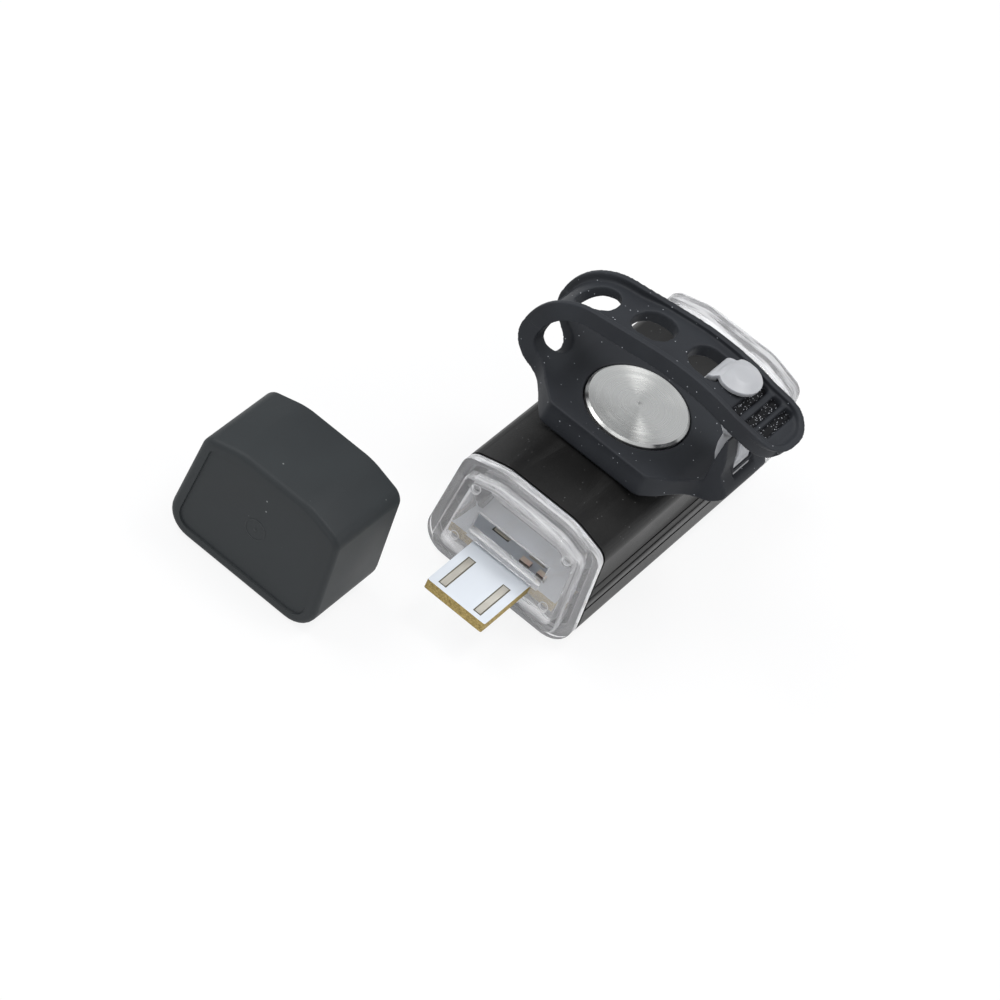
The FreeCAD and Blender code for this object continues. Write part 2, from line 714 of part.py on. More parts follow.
def make_heat_spreader():
    """Aluminium plate that takes the emitter's heat to the case."""
    body = new_body("heat_spreader")
    lead_hole = dim["lead_radius"] + dim["fit_gap"] * 3
    holes = [(dim["lead_half"] * sign, lead_level, lead_hole) for sign in (-1, 1)]
    plate = case_outline(dim["wall"] + dim["fit_gap"])
    extrude(body, "y", spreader_rear, dim["spreader_thick"], [plate] + holes)
    return body


def make_main_board():
    """Circuit board whose rear tongue is the plug."""
    body = new_body("main_board")
    plug_half = dim["plug_width"] / 2
    plug_front = block_face - dim["plug_length"]
    shoulder = block_face + dim["block_front"] + dim["fit_gap"]
    half = dim["board_half"]
    outline = [
        (-plug_half, plug_front, dim["plug_round"]),
        (plug_half, plug_front, dim["plug_round"]),
        (plug_half, shoulder, 0),
        (half, shoulder, 0),
        (half, board_front_end, 0),
        (-half, board_front_end, 0),
        (-half, shoulder, 0),
        (-plug_half, shoulder, 0),
    ]
    extrude(body, "z", board_low, dim["plug_thick"], [outline])
    sunk = dim["contact_sunk"]
    extrude(body, "z", dim["board_top"] - sunk, sunk + past, pad_outlines(), "Pocket")
    return body


def pad_outlines():
    """Outlines of the plug contacts and of the two test pads behind the window."""
    outlines = []
    plug_front = block_face - dim["plug_length"]
    test_rear = shell_rear + dim["contact_width"]
    for sign in (-1, 1):
        middle = dim["contact_half"] * sign
        half = dim["contact_width"] / 2
        rear = plug_front + dim["contact_back"]
        outlines.append(rectangle(middle - half, middle + half, rear, rear + dim["contact_length"]))
        wide = dim["contact_width"] * 1.4
        test_front = test_rear + dim["contact_width"]
        outlines.append(rectangle(middle - wide, middle + wide, test_rear, test_front))
    return outlines


def make_plug_contacts():
    """Metal pads let into the board."""
    body_list = []
    for step, outline in enumerate(pad_outlines()):
        left, low, _ = outline[0]
        right, top, _ = outline[2]
        level = dim["board_top"] - dim["contact_sunk"]
        name = "contact_" + str(step)
        body_list.append(block(name, left, low, level, right - left, top - low, dim["contact_thick"]))
    return group("plug_contacts", body_list)


def make_charge_leds():
    """Two small indicator lamps behind the window."""
    lamps = []
    side = dim["lamp_side"]
    rear = shell_rear - side * 0.7
    for step in range(2):
        name = "lamp_" + str(step)
        left = dim["lamp_first"] + dim["lamp_pitch"] * step
        lamps.append(block(name, left, rear, dim["board_top"], side, side * 0.6, side * 0.4))
    return group("charge_leds", lamps)


def make_board_chips():
    """Charger, driver, coil and small parts under the board."""
    chip = dim["chip_side"]
    coil = dim["coil_side"]
    small = dim["small_side"]
    rear = shell_rear + dim["spigot_length"] * 0.9
    front = board_front_end - dim["board_margin"]
    left = -dim["board_half"] + dim["board_margin"]
    right = dim["board_half"] - dim["board_margin"]
    layout = (
        ("charger", left, rear, chip, chip * 0.3),
        ("driver", right - chip, rear, chip, chip * 0.3),
        ("coil", left, front - small * 4 - coil, coil, coil * 0.45),
        ("diode", right - small * 1.2, front - small * 5, small * 1.2, small * 0.6),
        ("capacitor_one", left, front - small * 2, small, small * 0.5),
        ("capacitor_two", right - small, front - small * 2, small, small * 0.5),
        ("resistor_one", left + small * 2, front - small * 2, small * 0.7, small * 0.3),
        ("resistor_two", right - small * 3, front - small * 2, small * 0.7, small * 0.3),
    )
    chips = [block(name, x, y, board_low - tall, side, side, tall) for name, x, y, side, tall in layout]
    return group("board_chips", chips)


def make_tactile_switch():
    """Switch body under the board, with a blind hole for its plunger."""
    side = dim["switch_side"]
    thick = dim["switch_thick"]
    low = board_low - thick
    body = block("switch_block", -side / 2, dim["switch_place"] - side / 2, low, side, side, thick)
    depth = dim["plunger_sunk"] + dim["button_travel"] + dim["fit_gap"]
    radius = dim["plunger_radius"] + dim["running_gap"]
    hole = rod("switch_bore", zero, dim["switch_place"], low, radius, depth)
    return cut("tactile_switch", body, hole)


def make_switch_plunger():
    """Plunger that the button pushes into the switch."""
    low = board_low - dim["switch_thick"] - dim["plunger_proud"]
    length = dim["plunger_proud"] + dim["plunger_sunk"]
    item = rod("switch_plunger", zero, dim["switch_place"], low, dim["plunger_radius"], length)
    item.Label = "switch_plunger"
    return item


def make_switch_button():
    """Round button in the flat face, kept in by a rim inside the case."""
    body = new_body("switch_button")
    rim_low = dim["wall"] + dim["fit_gap"]
    rim_top = rim_low + dim["button_rim_thick"]
    plunger_low = board_low - dim["switch_thick"] - dim["plunger_proud"]
    rim = dim["button_radius"] + dim["button_rim"]
    profile = [
        (0, dim["button_recess"], 0),
        (dim["button_radius"] - dim["fit_gap"] * 2, dim["button_recess"], 0),
        (dim["button_radius"], dim["button_recess"] + dim["fit_gap"] * 2, 0),
        (dim["button_radius"], rim_low, 0),
        (rim, rim_low, 0),
        (rim, rim_top, 0),
        (dim["plunger_radius"], rim_top, 0),
        (dim["plunger_radius"], plunger_low, 0),
        (0, plunger_low, 0),
    ]
    spin(body, "y", dim["switch_place"], "V_Axis", profile)
    return body


def make_battery_cell():
    """Flat lithium cell above the board."""
    body = new_body("battery_cell")
    half = dim["battery_half"]
    outline = rectangle(-half, half, battery_low, battery_top, dim["battery_round"])
    extrude(body, "y", battery_rear, battery_front - battery_rear, [outline])
    return body


def make_battery_pad():
    """Foam pad between board and cell."""
    inset = dim["pad_inset"]
    half = dim["battery_half"] - inset
    length = battery_front - battery_rear - inset * 2
    thick = dim["pad_thick"]
    item = block("battery_pad", -half, battery_rear + inset, dim["board_top"], half * 2, length, thick)
    item.Label = "battery_pad"
    return item


def make_battery_tabs():
    """Nickel strips from the cell's end to the board."""
    strips = []
    tall = dim["pad_thick"] + (battery_top - battery_low) / 2
    for sign in (-1, 1):
        left = dim["tab_half"] * sign - dim["tab_width"] / 2
        name = "strip_" + str(len(strips))
        wide = dim["tab_width"]
        strips.append(block(name, left, battery_front, dim["board_top"], wide, dim["tab_thick"], tall))
    return group("battery_tabs", strips)


def make_led_leads():
    """Two insulated leads from the board to the emitter's board."""
    leads = []
    rear = spreader_rear - dim["lead_start"]
    length = led_board_rear - rear
    for sign in (-1, 1):
        name = "lead_" + str(len(leads))
        x = dim["lead_half"] * sign
        leads.append(rod_along_y(name, x, rear, lead_level, dim["lead_radius"], length))
    return group("led_leads", leads)


washer_top = dim["body_height"] + dim["washer_thick"]
saddle_low = dim["body_height"] + dim["saddle_lift"]
saddle_top = saddle_low + dim["saddle_thick"]
disc_low = saddle_top - dim["disc_thick"] * 0.6
disc_top = disc_low + dim["disc_thick"]


def make_pivot_screw():
    """Turned aluminium disc with its shank."""
    body = new_body("pivot_screw")
    bevel = dim["disc_bevel"]
    profile = [
        (0, nut_low, 0),
        (dim["shank_radius"], nut_low, 0),
        (dim["shank_radius"], disc_low, 0),
        (dim["disc_radius"], disc_low, 0),
        (dim["disc_radius"], disc_top - bevel, 0),
        (dim["disc_radius"] - bevel, disc_top, 0),
        (bevel * 2, disc_top, 0),
        (0, disc_top - bevel * 0.4, 0),
    ]
    spin(body, "y", dim["pivot_place"], "V_Axis", profile)
    return body


def make_tube(label, low, high, outer, inner):
    """Upright ring on the pivot axis."""
    body = new_body(label)
    circles = [(zero, dim["pivot_place"], radius) for radius in (outer, inner)]
    extrude(body, "z", low, high - low, circles)
    return body


def make_pivot_nut():
    """Hexagon nut under the crown, inside the case."""
    prism = doc.addObject("Part::Prism", "nut_prism")
    prism.Polygon = 6
    bind(prism, "Circumradius", dim["nut_radius"])
    bind(prism, "Height", dim["nut_thick"])
    place(prism, zero, dim["pivot_place"], nut_low)
    bore = rod("nut_bore", zero, dim["pivot_place"], nut_low - past,
               dim["shank_radius"] + dim["running_gap"], dim["nut_thick"] + 2 * past)
    return cut("pivot_nut", prism, bore)


# Rubber strap. Its forms are bent ribbons, so they are worked out as paths in the plane of the
# loop (x across the light, z up) and spread along y about the pivot.
def path_edges(corners):
    """Lines and tangent arcs through (x, z, radius) corners, open at both ends."""
    points = [Vector(number(x), 0, number(z)) for x, z, radius in corners]
    edges = []
    here = points[0]
    for i in range(1, len(points) - 1):
        radius = number(corners[i][2])
        start, centre, end, middle = corner_arc(points[i - 1], points[i], points[i + 1], radius)
        edges.append(Part.makeLine(here, start))
        edges.append(Part.Arc(start, middle, end).toShape())
        here = end
    edges.append(Part.makeLine(here, points[-1]))
    return edges


def ribbon(corners, near, far, half_width):
    """Strip between two distances to the left of a path, spread both ways along y."""
    sides = []
    for distance in (near, far):
        sides.append(path_edges(shifted(corners, distance)))
    ends = [
        Part.makeLine(sides[0][-1].lastVertex().Point, sides[1][-1].lastVertex().Point),
        Part.makeLine(sides[0][0].firstVertex().Point, sides[1][0].firstVertex().Point),
    ]
    wire = Part.Wire(Part.sortEdges(sides[0] + sides[1] + ends)[0])
    face = Part.Face(wire)
    solid = face.extrude(Vector(0, 2 * half_width, 0))
    solid.translate(Vector(0, number(dim["pivot_place"]) - half_width, 0))
    return solid


def shifted(corners, distance):
    """A path moved to its left, with each bend's radius following."""
    points = [Vector(number(x), 0, number(z)) for x, z, radius in corners]
    ways = [(points[i + 1] - points[i]).normalize() for i in range(len(points) - 1)]
    lefts = [Vector(-way.z, 0, way.x) for way in ways]
    moved = []
    for i, point in enumerate(points):
        first = lefts[max(i - 1, 0)]
        second = lefts[min(i, len(lefts) - 1)]
        shift = (first + second) * (distance / (1 + first.dot(second)))
        radius = number(corners[i][2])
        if 0 < i < len(points) - 1:
            turn = ways[i - 1].z * ways[i].x - ways[i - 1].x * ways[i].z
            radius += distance if turn > 0 else -distance
        moved.append((point.x + shift.x, point.z + shift.z, radius))
    return moved


def slot_cutter(middle, way, length, width, depth_up, depth_down, radius):
    """Rounded rectangular cutter, square to a strip that runs along a direction."""
    long = length / 2
    half = width / 2
    corners = [(-long, -half), (long, -half), (long, half), (-long, half)]
    points = [Vector(x, y, 0) for x, y in corners]
    edges = []
    arcs = [corner_arc(points[i - 1], points[i], points[(i + 1) % 4], radius) for i in range(4)]
    for i in range(4):
        start, centre, end, bulge = arcs[i]
        edges.append(Part.Arc(start, bulge, end).toShape())
        edges.append(Part.makeLine(end, arcs[(i + 1) % 4][0]))
    face = Part.Face(Part.Wire(Part.sortEdges(edges)[0]))
    face.translate(Vector(0, 0, -depth_down))
    solid = face.extrude(Vector(0, 0, depth_up + depth_down))
    tilt = -math.degrees(math.atan2(way.z, way.x))
    solid.Placement = FreeCAD.Placement(middle, FreeCAD.Rotation(Vector(0, 1, 0), tilt))
    return solid


crown = dim["body_height"]
lean_level = crown + dim["lean_rise"]
split_level = crown + dim["split_rise"]
fold_corner_level = crown + dim["fold_corner_rise"]
top_corner_level = crown + dim["top_corner_rise"]
tab_corner_level = crown + dim["tab_corner_rise"]
tab_end_level = crown + dim["tab_end_rise"]
ear_bend_level = crown + dim["ear_bend_rise"]
ear_tip_level = ear_bend_level + dim["ear_tip_rise"]
outer_lip_level = ear_bend_level - dim["lip_drop"]
inner_lip_level = ear_bend_level - dim["inner_lip_drop"]
hook_foot_level = crown + dim["hook_foot_rise"]
hook_foot_top = hook_foot_level + dim["hook_foot_tall"]
hook_neck_level = crown + dim["hook_neck_rise"]
hook_top_level = crown + dim["hook_top_rise"]


def band_path():
    """Outer face of the band, from the split in the left ear to the end of the tab."""
    foot_x = number(dim["split_reach"]) + split_lean().x * number(dim["strap_thick"])
    foot_z = number(split_level) - split_lean().z * number(dim["strap_thick"])
    return [
        (-foot_x, foot_z, 0),
        (-dim["fold_corner_x"], fold_corner_level, dim["fold_round"]),
        (dim["top_corner_x"], top_corner_level, dim["arch_round"]),
        (dim["tab_corner_x"], tab_corner_level, dim["tab_round"]),
        (dim["tab_end_x"], tab_end_level, 0),
    ]


def split_lean():
    """Direction of the left ear's outer face where the band is split off."""
    run = number(dim["split_reach"] - dim["fold_corner_x"])
    rise = number(fold_corner_level - split_level)
    return Vector(run, 0, rise).normalize()


def spot_on(edges, distance):
    """Point and direction at a distance along a chain of edges."""
    for edge in edges:
        if distance <= edge.Length:
            at = edge.getParameterByLength(distance)
            return edge.valueAt(at), edge.tangentAt(at)
        distance -= edge.Length
    raise ValueError("past the end of the path")


def length_to(edges, x):
    """Distance along the upper part of the path where it reaches x."""
    low, high = edges[0].Length, sum(edge.Length for edge in edges)
    while high - low > 0.001:
        middle = (low + high) / 2
        if spot_on(edges, middle)[0].x < x:
            low = middle
        else:
            high = middle
    return low


def strip_cut(edges, distance, sunk, length, width, up, down, radius):
    """Cutter on the strip at a distance along its outer face."""
    point, way = spot_on(edges, distance)
    inward = Vector(way.z, 0, -way.x)
    middle = point + inward * sunk
    middle.y = number(dim["pivot_place"])
    return slot_cutter(middle, way, length, width, up, down, radius)


def make_strap_band():
    """Band with rims, three holes for the hook and a grooved finger tab."""
    path = band_path()
    thick = number(dim["strap_thick"])
    half = number(dim["strap_half"])
    rim = number(dim["rim_height"])
    gap = number(dim["soft_gap"])
    solid = ribbon(path, 0, -thick, half)
    edges = path_edges(path)
    inner_half = half - number(dim["rim_width"])
    last = Vector(number(path[-1][0] - path[-2][0]), 0, number(path[-1][1] - path[-2][1])).normalize()
    tip = Vector(number(path[-1][0]), number(dim["pivot_place"]), number(path[-1][1]))
    corner = number(dim["tab_corner"])
    solid = solid.common(tab_outline(tip, last, half, corner))
    recess = ribbon(path, past, -rim, inner_half)
    inset = half - inner_half
    recess = recess.common(tab_outline(tip - last * inset, last, inner_half, corner - inset))
    solid = solid.cut(recess)
    start = length_to(edges, number(dim["hole_first"]))
    pitch = number(dim["hole_pitch"])
    for step in range(3):
        cutter = strip_cut(edges, start - pitch * step, thick / 2, number(dim["hole_length"]),
                           number(dim["hole_width"]), thick, thick, number(dim["hole_round"]))
        solid = solid.cut(cutter)
    start = length_to(edges, number(dim["grip_first"]))
    for step in range(3):
        cutter = strip_cut(edges, start + number(dim["grip_pitch"]) * step, rim, number(dim["grip_width"]),
                           number(dim["grip_length"]), thick, number(dim["grip_depth"]), 0.5)
        solid = solid.cut(cutter)
    split = number(split_level) + gap / 2
    below = Part.makeBox(6 * thick, 4 * half, 4 * thick)
    below.translate(Vector(-number(dim["strap_reach"]) - 3 * thick, number(dim["pivot_place"]) - 2 * half,
                           split - 4 * thick))
    item = doc.addObject("Part::Feature", "strap_band")
    item.Label = "strap_band"
    item.Shape = solid.cut(below)
    return item


def tab_outline(tip, way, half, radius):
    """Long block with rounded corners that ends at the tab's tip, square to the tab."""
    long = 8 * number(dim["strap_reach"])
    return slot_cutter(tip - way * long / 2, way, long, 2 * half, long, long, radius)


def saddle_profile():
    """Side view of the saddle with its left ear and the hook's ear."""
    wing_level = saddle_low + dim["wing_rise"]
    run = dim["strap_reach"] - dim["saddle_half_x"]
    slope = number(dim["wing_rise"]) / number(run)
    lean = math.sqrt(1 + slope * slope)

    def wing_top(x):
        return saddle_low + (x - dim["saddle_half_x"]) * slope + dim["strap_thick"] * lean

    meet = dim["saddle_half_x"] + (dim["saddle_thick"] - dim["strap_thick"] * lean) * (1 / slope)
    left_inner = dim["strap_reach"] - dim["strap_thick"]
    split = split_level - dim["soft_gap"] / 2
    split_inner = dim["split_reach"] - dim["strap_thick"] / split_lean().z
    inner_round = dim["wing_round"] - dim["strap_thick"]
    return [
        (-dim["saddle_half_x"], saddle_low, dim["foot_blend"]),
        (dim["saddle_half_x"], saddle_low, dim["foot_blend"]),
        (dim["strap_reach"], wing_level, dim["wing_round"]),
        (dim["strap_reach"], ear_bend_level, dim["ear_round"]),
        (dim["ear_tip_x"], ear_tip_level, dim["ear_tip_round"]),
        (dim["ear_inner"], ear_bend_level, dim["ear_round"]),
        (dim["ear_inner"], wing_top(dim["ear_inner"]), dim["plan_round"]),
        (meet, saddle_top, dim["wing_blend"]),
        (-meet, saddle_top, dim["wing_blend"]),
        (-left_inner, wing_top(left_inner), inner_round),
        (-left_inner, lean_level, dim["lean_round"]),
        (-split_inner, split, 0),
        (-dim["split_reach"], split, 0),
        (-dim["strap_reach"], lean_level, dim["lean_round"]),
        (-dim["strap_reach"], wing_level, dim["wing_round"]),
    ]


def saddle_plan():
    """Saddle seen from above: straight walls that narrow to the strap's width."""
    half = dim["strap_half"]
    wide = dim["saddle_half_y"]
    flat = dim["saddle_flat"]
    neck = dim["saddle_half_x"] + dim["strap_thick"]
    end = dim["strap_reach"] + past
    bend = dim["neck_round"]
    lower = [(flat, -wide, dim["plan_round"]), (neck, -half, bend), (end, -half, 0)]
    right = lower + [(x, -y, radius) for x, y, radius in reversed(lower)]
    left = [(-x, -y, radius) for x, y, radius in right]
    return [(x, y + dim["pivot_place"], radius) for x, y, radius in right + left]


def make_strap_saddle():
    """Saddle pad with both ears, bored for the pivot and pocketed for the hook."""
    side = new_body("saddle_side_view")
    wide = dim["saddle_half_y"] + past
    extrude(side, "y", dim["pivot_place"] - wide, wide * 2, [saddle_profile()])
    plan = new_body("saddle_top_view")
    extrude(plan, "z", saddle_low - past, ear_tip_level, [saddle_plan()])
    blank = doc.addObject("Part::Common", "saddle_blank")
    blank.Base = side
    blank.Tool = plan
    here = (zero, dim["pivot_place"])
    bore = rod("saddle_bore", *here, saddle_low - past, dim["bushing_radius"] + dim["running_gap"],
               dim["saddle_thick"] + 2 * past)
    low_recess = rod("washer_recess", *here, saddle_low - past, dim["washer_radius"] + dim["soft_gap"],
                     past + washer_top - saddle_low + dim["soft_gap"] / 2)
    gap = dim["soft_gap"]
    high_recess = rod("disc_recess", *here, disc_low - gap, dim["disc_radius"] + gap, dim["saddle_thick"])
    half = dim["hook_width"] / 2 + gap
    left = dim["hook_foot_x"] - dim["hook_thick"] / 2 - gap
    deep = dim["hook_thick"] + 2 * gap
    start = dim["pivot_place"] - half
    pocket = block("hook_pocket", left, start, hook_foot_level - gap, deep, half * 2, ear_tip_level)
    reach = dim["strap_reach"]
    over_lip = block("over_outer_lip", left, start, outer_lip_level, reach, half * 2, ear_tip_level)
    over_inner = block("over_inner_lip", dim["ear_inner"] - past, start, inner_lip_level,
                       left - dim["ear_inner"] + 2 * past, half * 2, ear_tip_level)
    hole = doc.addObject("Part::Feature", "ear_hole")
    hole.Shape = ear_hole_cutter()
    channel = doc.addObject("Part::Feature", "ear_channel")
    channel.Shape = ear_channel_cutter()
    tools = fuse("saddle_cuts", [bore, low_recess, high_recess, pocket, over_lip, over_inner, hole, channel])
    return cut("strap_saddle", blank, tools)


def ear_channel_cutter():
    """Cutter for the channel between the rims, from the left wing up to the split."""
    reach = dim["strap_reach"]
    run = (reach - dim["saddle_half_x"]) * dim["channel_start"]
    path = [
        (-dim["saddle_half_x"] - run, saddle_low + dim["wing_rise"] * dim["channel_start"], 0),
        (-reach, saddle_low + dim["wing_rise"], dim["wing_round"]),
        (-reach, lean_level, dim["lean_round"]),
        (-dim["split_reach"], split_level, 0),
    ]
    half = number(dim["strap_half"]) - number(dim["rim_width"])
    return ribbon(path, past, -number(dim["rim_height"]), half)


def ear_hole_cutter():
    """Cutter for the hole in the rounded corner of the left ear."""
    reach = number(dim["strap_reach"])
    corner = Vector(-reach, 0, number(saddle_low + dim["wing_rise"]))
    start = Vector(-number(dim["saddle_half_x"]), 0, number(saddle_low))
    above = Vector(-reach, 0, number(split_level))
    arc = corner_arc(start, corner, above, number(dim["wing_round"]))
    inward = (arc[1] - arc[3]).normalize()
    thick = number(dim["strap_thick"])
    middle = arc[3] + inward * thick / 2
    middle.y = number(dim["pivot_place"])
    way = Vector(inward.z, 0, -inward.x)
    shorter = number(dim["hole_length"]) - number(dim["ear_hole_short"])
    middle = middle + way * number(dim["ear_hole_short"]) / 2
    width = number(dim["hole_width"])
    return slot_cutter(middle, way, shorter, width, 2 * thick, 2 * thick, number(dim["hole_round"]))


def make_strap_hook():
    """Plastic hook: strip out of its pocket, up through the band's hole, with a round head."""
    thick = number(dim["hook_thick"])
    centre_line = [
        (dim["hook_foot_x"], hook_foot_level, 0),
        (dim["hook_foot_x"], hook_foot_top, thick * 1.1),
        (dim["hook_neck_x"], hook_neck_level, thick * 1.3),
        (dim["hook_neck_x"], hook_top_level, thick * 0.65),
        (dim["hook_head_x"], hook_top_level - dim["hook_drop"] / 2, 0),
    ]
    strip = ribbon(centre_line, thick / 2, -thick / 2, number(dim["hook_width"]) / 2)
    start = Vector(number(centre_line[3][0]), 0, number(centre_line[3][1]))
    end = Vector(number(centre_line[4][0]), 0, number(centre_line[4][1]))
    way = (end - start).normalize()
    up = Vector(-way.z, 0, way.x)
    foot = end - up * thick / 2
    foot.y = number(dim["pivot_place"])
    head = Part.makeCylinder(number(dim["hook_head"]), thick, foot, up)
    item = doc.addObject("Part::Feature", "strap_hook")
    item.Label = "strap_hook"
    item.Shape = strip.fuse(head).removeSplitter()
    return item


def make_usb_cap():
    """Moulded cap that fits over the plug and the raised block, set down beside them."""
    body = new_body("usb_cap")
    front = -dim["cap_depth"] / 2
    extrude(body, "y", front, dim["cap_depth"], [case_outline(zero)])
    dress(body, "Chamfer", "Size", dim["cap_bevel"], lambda edge: at_level(edge, "y", front))
    inside = dim["cap_depth"] - dim["cap_front"]
    extrude(body, "y", front + dim["cap_front"], inside + past, [case_outline(dim["cap_wall"])], "Pocket")
    panel = case_outline(dim["panel_inset"])
    extrude(body, "y", front - past, dim["panel_depth"] + past, [panel], "Pocket")
    place(body, dim["cap_x"], dim["cap_y"], zero)
    return body


bushing_inner = dim["shank_radius"] + dim["running_gap"]
bushing_outer = dim["bushing_radius"]
washer_inner = bushing_outer + dim["fit_gap"]
sub_parts = [
    make_body_shell(),
    make_rear_end_lens(),
    make_ring("rear_seal", flange_front),
    make_front_lens(),
    make_ring("front_seal", shell_front),
    make_front_reflector(),
    make_led_board(),
    make_led_emitter(),
    make_heat_spreader(),
    make_main_board(),
    make_plug_contacts(),
    make_charge_leds(),
    make_board_chips(),
    make_tactile_switch(),
    make_switch_plunger(),
    make_switch_button(),
    make_battery_cell(),
    make_battery_pad(),
    make_battery_tabs(),
    make_led_leads(),
    make_pivot_screw(),
    make_tube("pivot_bushing", dim["body_height"], disc_low, bushing_outer, bushing_inner),
    make_tube("pivot_washer", dim["body_height"], washer_top, dim["washer_radius"], washer_inner),
    make_pivot_nut(),
    make_strap_saddle(),
    make_strap_band(),
    make_strap_hook(),
    make_usb_cap(),
]

doc.recompute()


def check_model():
    """Stop if any object failed or any sub-part is not a whole solid."""
    for item in doc.Objects:
        if "Invalid" in item.State or "Error" in item.State:
            raise ValueError(item.Name + " failed")
    for item in sub_parts:
        if item.Shape.isNull() or not item.Shape.isValid() or not item.Shape.Solids:
            raise ValueError(item.Label + " is not a valid solid")


check_model()
os.makedirs("parts", exist_ok=True)
for item in sub_parts:
    item.Shape.exportStep("parts/" + item.Label + ".step")
    box = item.Shape.BoundBox
    print(item.Label, len(item.Shape.Solids), "solids", round(item.Shape.Volume, 1), "mm3",
          "x", round(box.XMin, 2), round(box.XMax, 2), "y", round(box.YMin, 2), round(box.YMax, 2),
          "z", round(box.ZMin, 2), round(box.ZMax, 2))
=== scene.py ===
# %% [markdown]
# # A small bike light, dressed for its portrait
#
# The light lies on its flat face with its rubber strap up. Beside it lies the cap of its plug.
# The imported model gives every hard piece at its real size, in metres. This lesson adds what a
# photograph shows beyond that: moulded rubber with soft edges, a turned aluminium disc, clear
# plastic ends, and a finish for every surface.

import math

import bmesh
import bpy
from mathutils import Matrix, Vector


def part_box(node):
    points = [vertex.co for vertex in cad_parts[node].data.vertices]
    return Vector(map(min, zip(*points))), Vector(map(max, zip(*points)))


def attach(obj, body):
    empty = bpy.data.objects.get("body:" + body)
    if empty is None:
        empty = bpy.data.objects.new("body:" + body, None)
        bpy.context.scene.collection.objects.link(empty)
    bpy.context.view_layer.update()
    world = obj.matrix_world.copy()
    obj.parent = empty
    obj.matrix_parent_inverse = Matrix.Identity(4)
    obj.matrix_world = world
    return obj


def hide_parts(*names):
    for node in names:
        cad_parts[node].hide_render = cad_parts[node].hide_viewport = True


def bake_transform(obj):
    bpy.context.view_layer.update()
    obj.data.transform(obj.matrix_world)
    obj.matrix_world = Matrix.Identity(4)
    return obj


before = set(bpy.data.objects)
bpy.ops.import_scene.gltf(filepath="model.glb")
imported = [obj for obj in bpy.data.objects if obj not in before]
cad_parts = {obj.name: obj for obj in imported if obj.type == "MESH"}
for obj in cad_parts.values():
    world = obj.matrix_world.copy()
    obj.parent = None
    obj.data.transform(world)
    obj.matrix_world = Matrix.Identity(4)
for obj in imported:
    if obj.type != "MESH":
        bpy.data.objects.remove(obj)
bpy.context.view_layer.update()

# %% [markdown]
# ## The camera
#
# The photograph was taken from above, over the clear end, with a long lens from about 0.7 m.
# A camera has three axes: its right, its up, and the way it looks back. Naming the right and the
# down direction of the picture is enough, because the third is square to both.

# %% Place the camera
picture_right = Vector((0.7627, 0.5626, 0.3190))
picture_down = Vector((0.6090, -0.4587, -0.6471))
towards_object = picture_right.cross(picture_down).normalized()

camera_data = bpy.data.cameras.new("camera")
camera_data.sensor_width = 36
camera_data.lens = 148.7
camera_data.clip_start = 0.05
camera = bpy.data.objects.new("camera", camera_data)
turn = Matrix((picture_right, -picture_down, -towards_object)).transposed()
camera.matrix_world = Matrix.Translation((0.1392, -0.4893, 0.4787)) @ turn.to_4x4()
bpy.context.scene.collection.objects.link(camera)
bpy.context.scene.camera = camera
print("camera looks along", [round(value, 3) for value in towards_object])

# %% [markdown]
# ## Floor and light
#
# The photograph has a plain white ground. A floor that only the camera sees as white would lose
# the shadow, so the floor mixes a pale diffuse surface with a glow that is seen. Soft panels
# light the object, one large from above and behind, and two weaker ones from the sides, because
# rubber and anodised metal show their form by broad pale reflections. A small fourth one stands
# nearly overhead and draws the bright cones on the turned disc.

# %% Helpers for node materials
def new_material(name):
    """An empty material with an output, and its node tree."""
    material = bpy.data.materials.new(name)
    material.use_nodes = True
    material.node_tree.nodes.clear()
    return material


def add_node(material, kind, settings=None, inputs=None):
    """A node with its settings, and its sockets given as numbers, colours or links."""
    node = material.node_tree.nodes.new("ShaderNode" + kind)
    for key, value in (settings or {}).items():
        setattr(node, key, value)
    for key, value in (inputs or {}).items():
        if isinstance(value, bpy.types.NodeSocket):
            material.node_tree.links.new(value, node.inputs[key])
        elif isinstance(value, tuple) and len(value) == 3 and node.inputs[key].type == "RGBA":
            node.inputs[key].default_value = (*value, 1.0)
        else:
            node.inputs[key].default_value = value
    return node


def set_output(material, shader):
    """Link a shader to the material's output."""
    add_node(material, "OutputMaterial", inputs={"Surface": shader.outputs[0]})
    return material


# %% Floor
floor_material = new_material("pale_floor")
floor_diffuse = add_node(floor_material, "BsdfDiffuse", inputs={"Color": (0.86, 0.86, 0.87)})
floor_glow = add_node(floor_material, "Emission", inputs={"Color": (1, 1, 1), "Strength": 1.0})
floor_path = add_node(floor_material, "LightPath")
seen_direct = add_node(floor_material, "Math", {"operation": "MAXIMUM"},
                       {0: floor_path.outputs["Is Camera Ray"], 1: floor_path.outputs["Is Transmission Ray"]})
seen_at_all = add_node(floor_material, "Math", {"operation": "MAXIMUM"},
                       {0: seen_direct.outputs[0], 1: floor_path.outputs["Is Glossy Ray"]})
GLOW_SHARE = 0.86
glow_share = add_node(floor_material, "Math", {"operation": "MULTIPLY"}, {0: seen_at_all.outputs[0], 1: GLOW_SHARE})
floor_mix = add_node(floor_material, "MixShader", inputs={0: glow_share.outputs[0], 1: floor_diffuse.outputs[0],
                                                           2: floor_glow.outputs[0]})
set_output(floor_material, floor_mix)

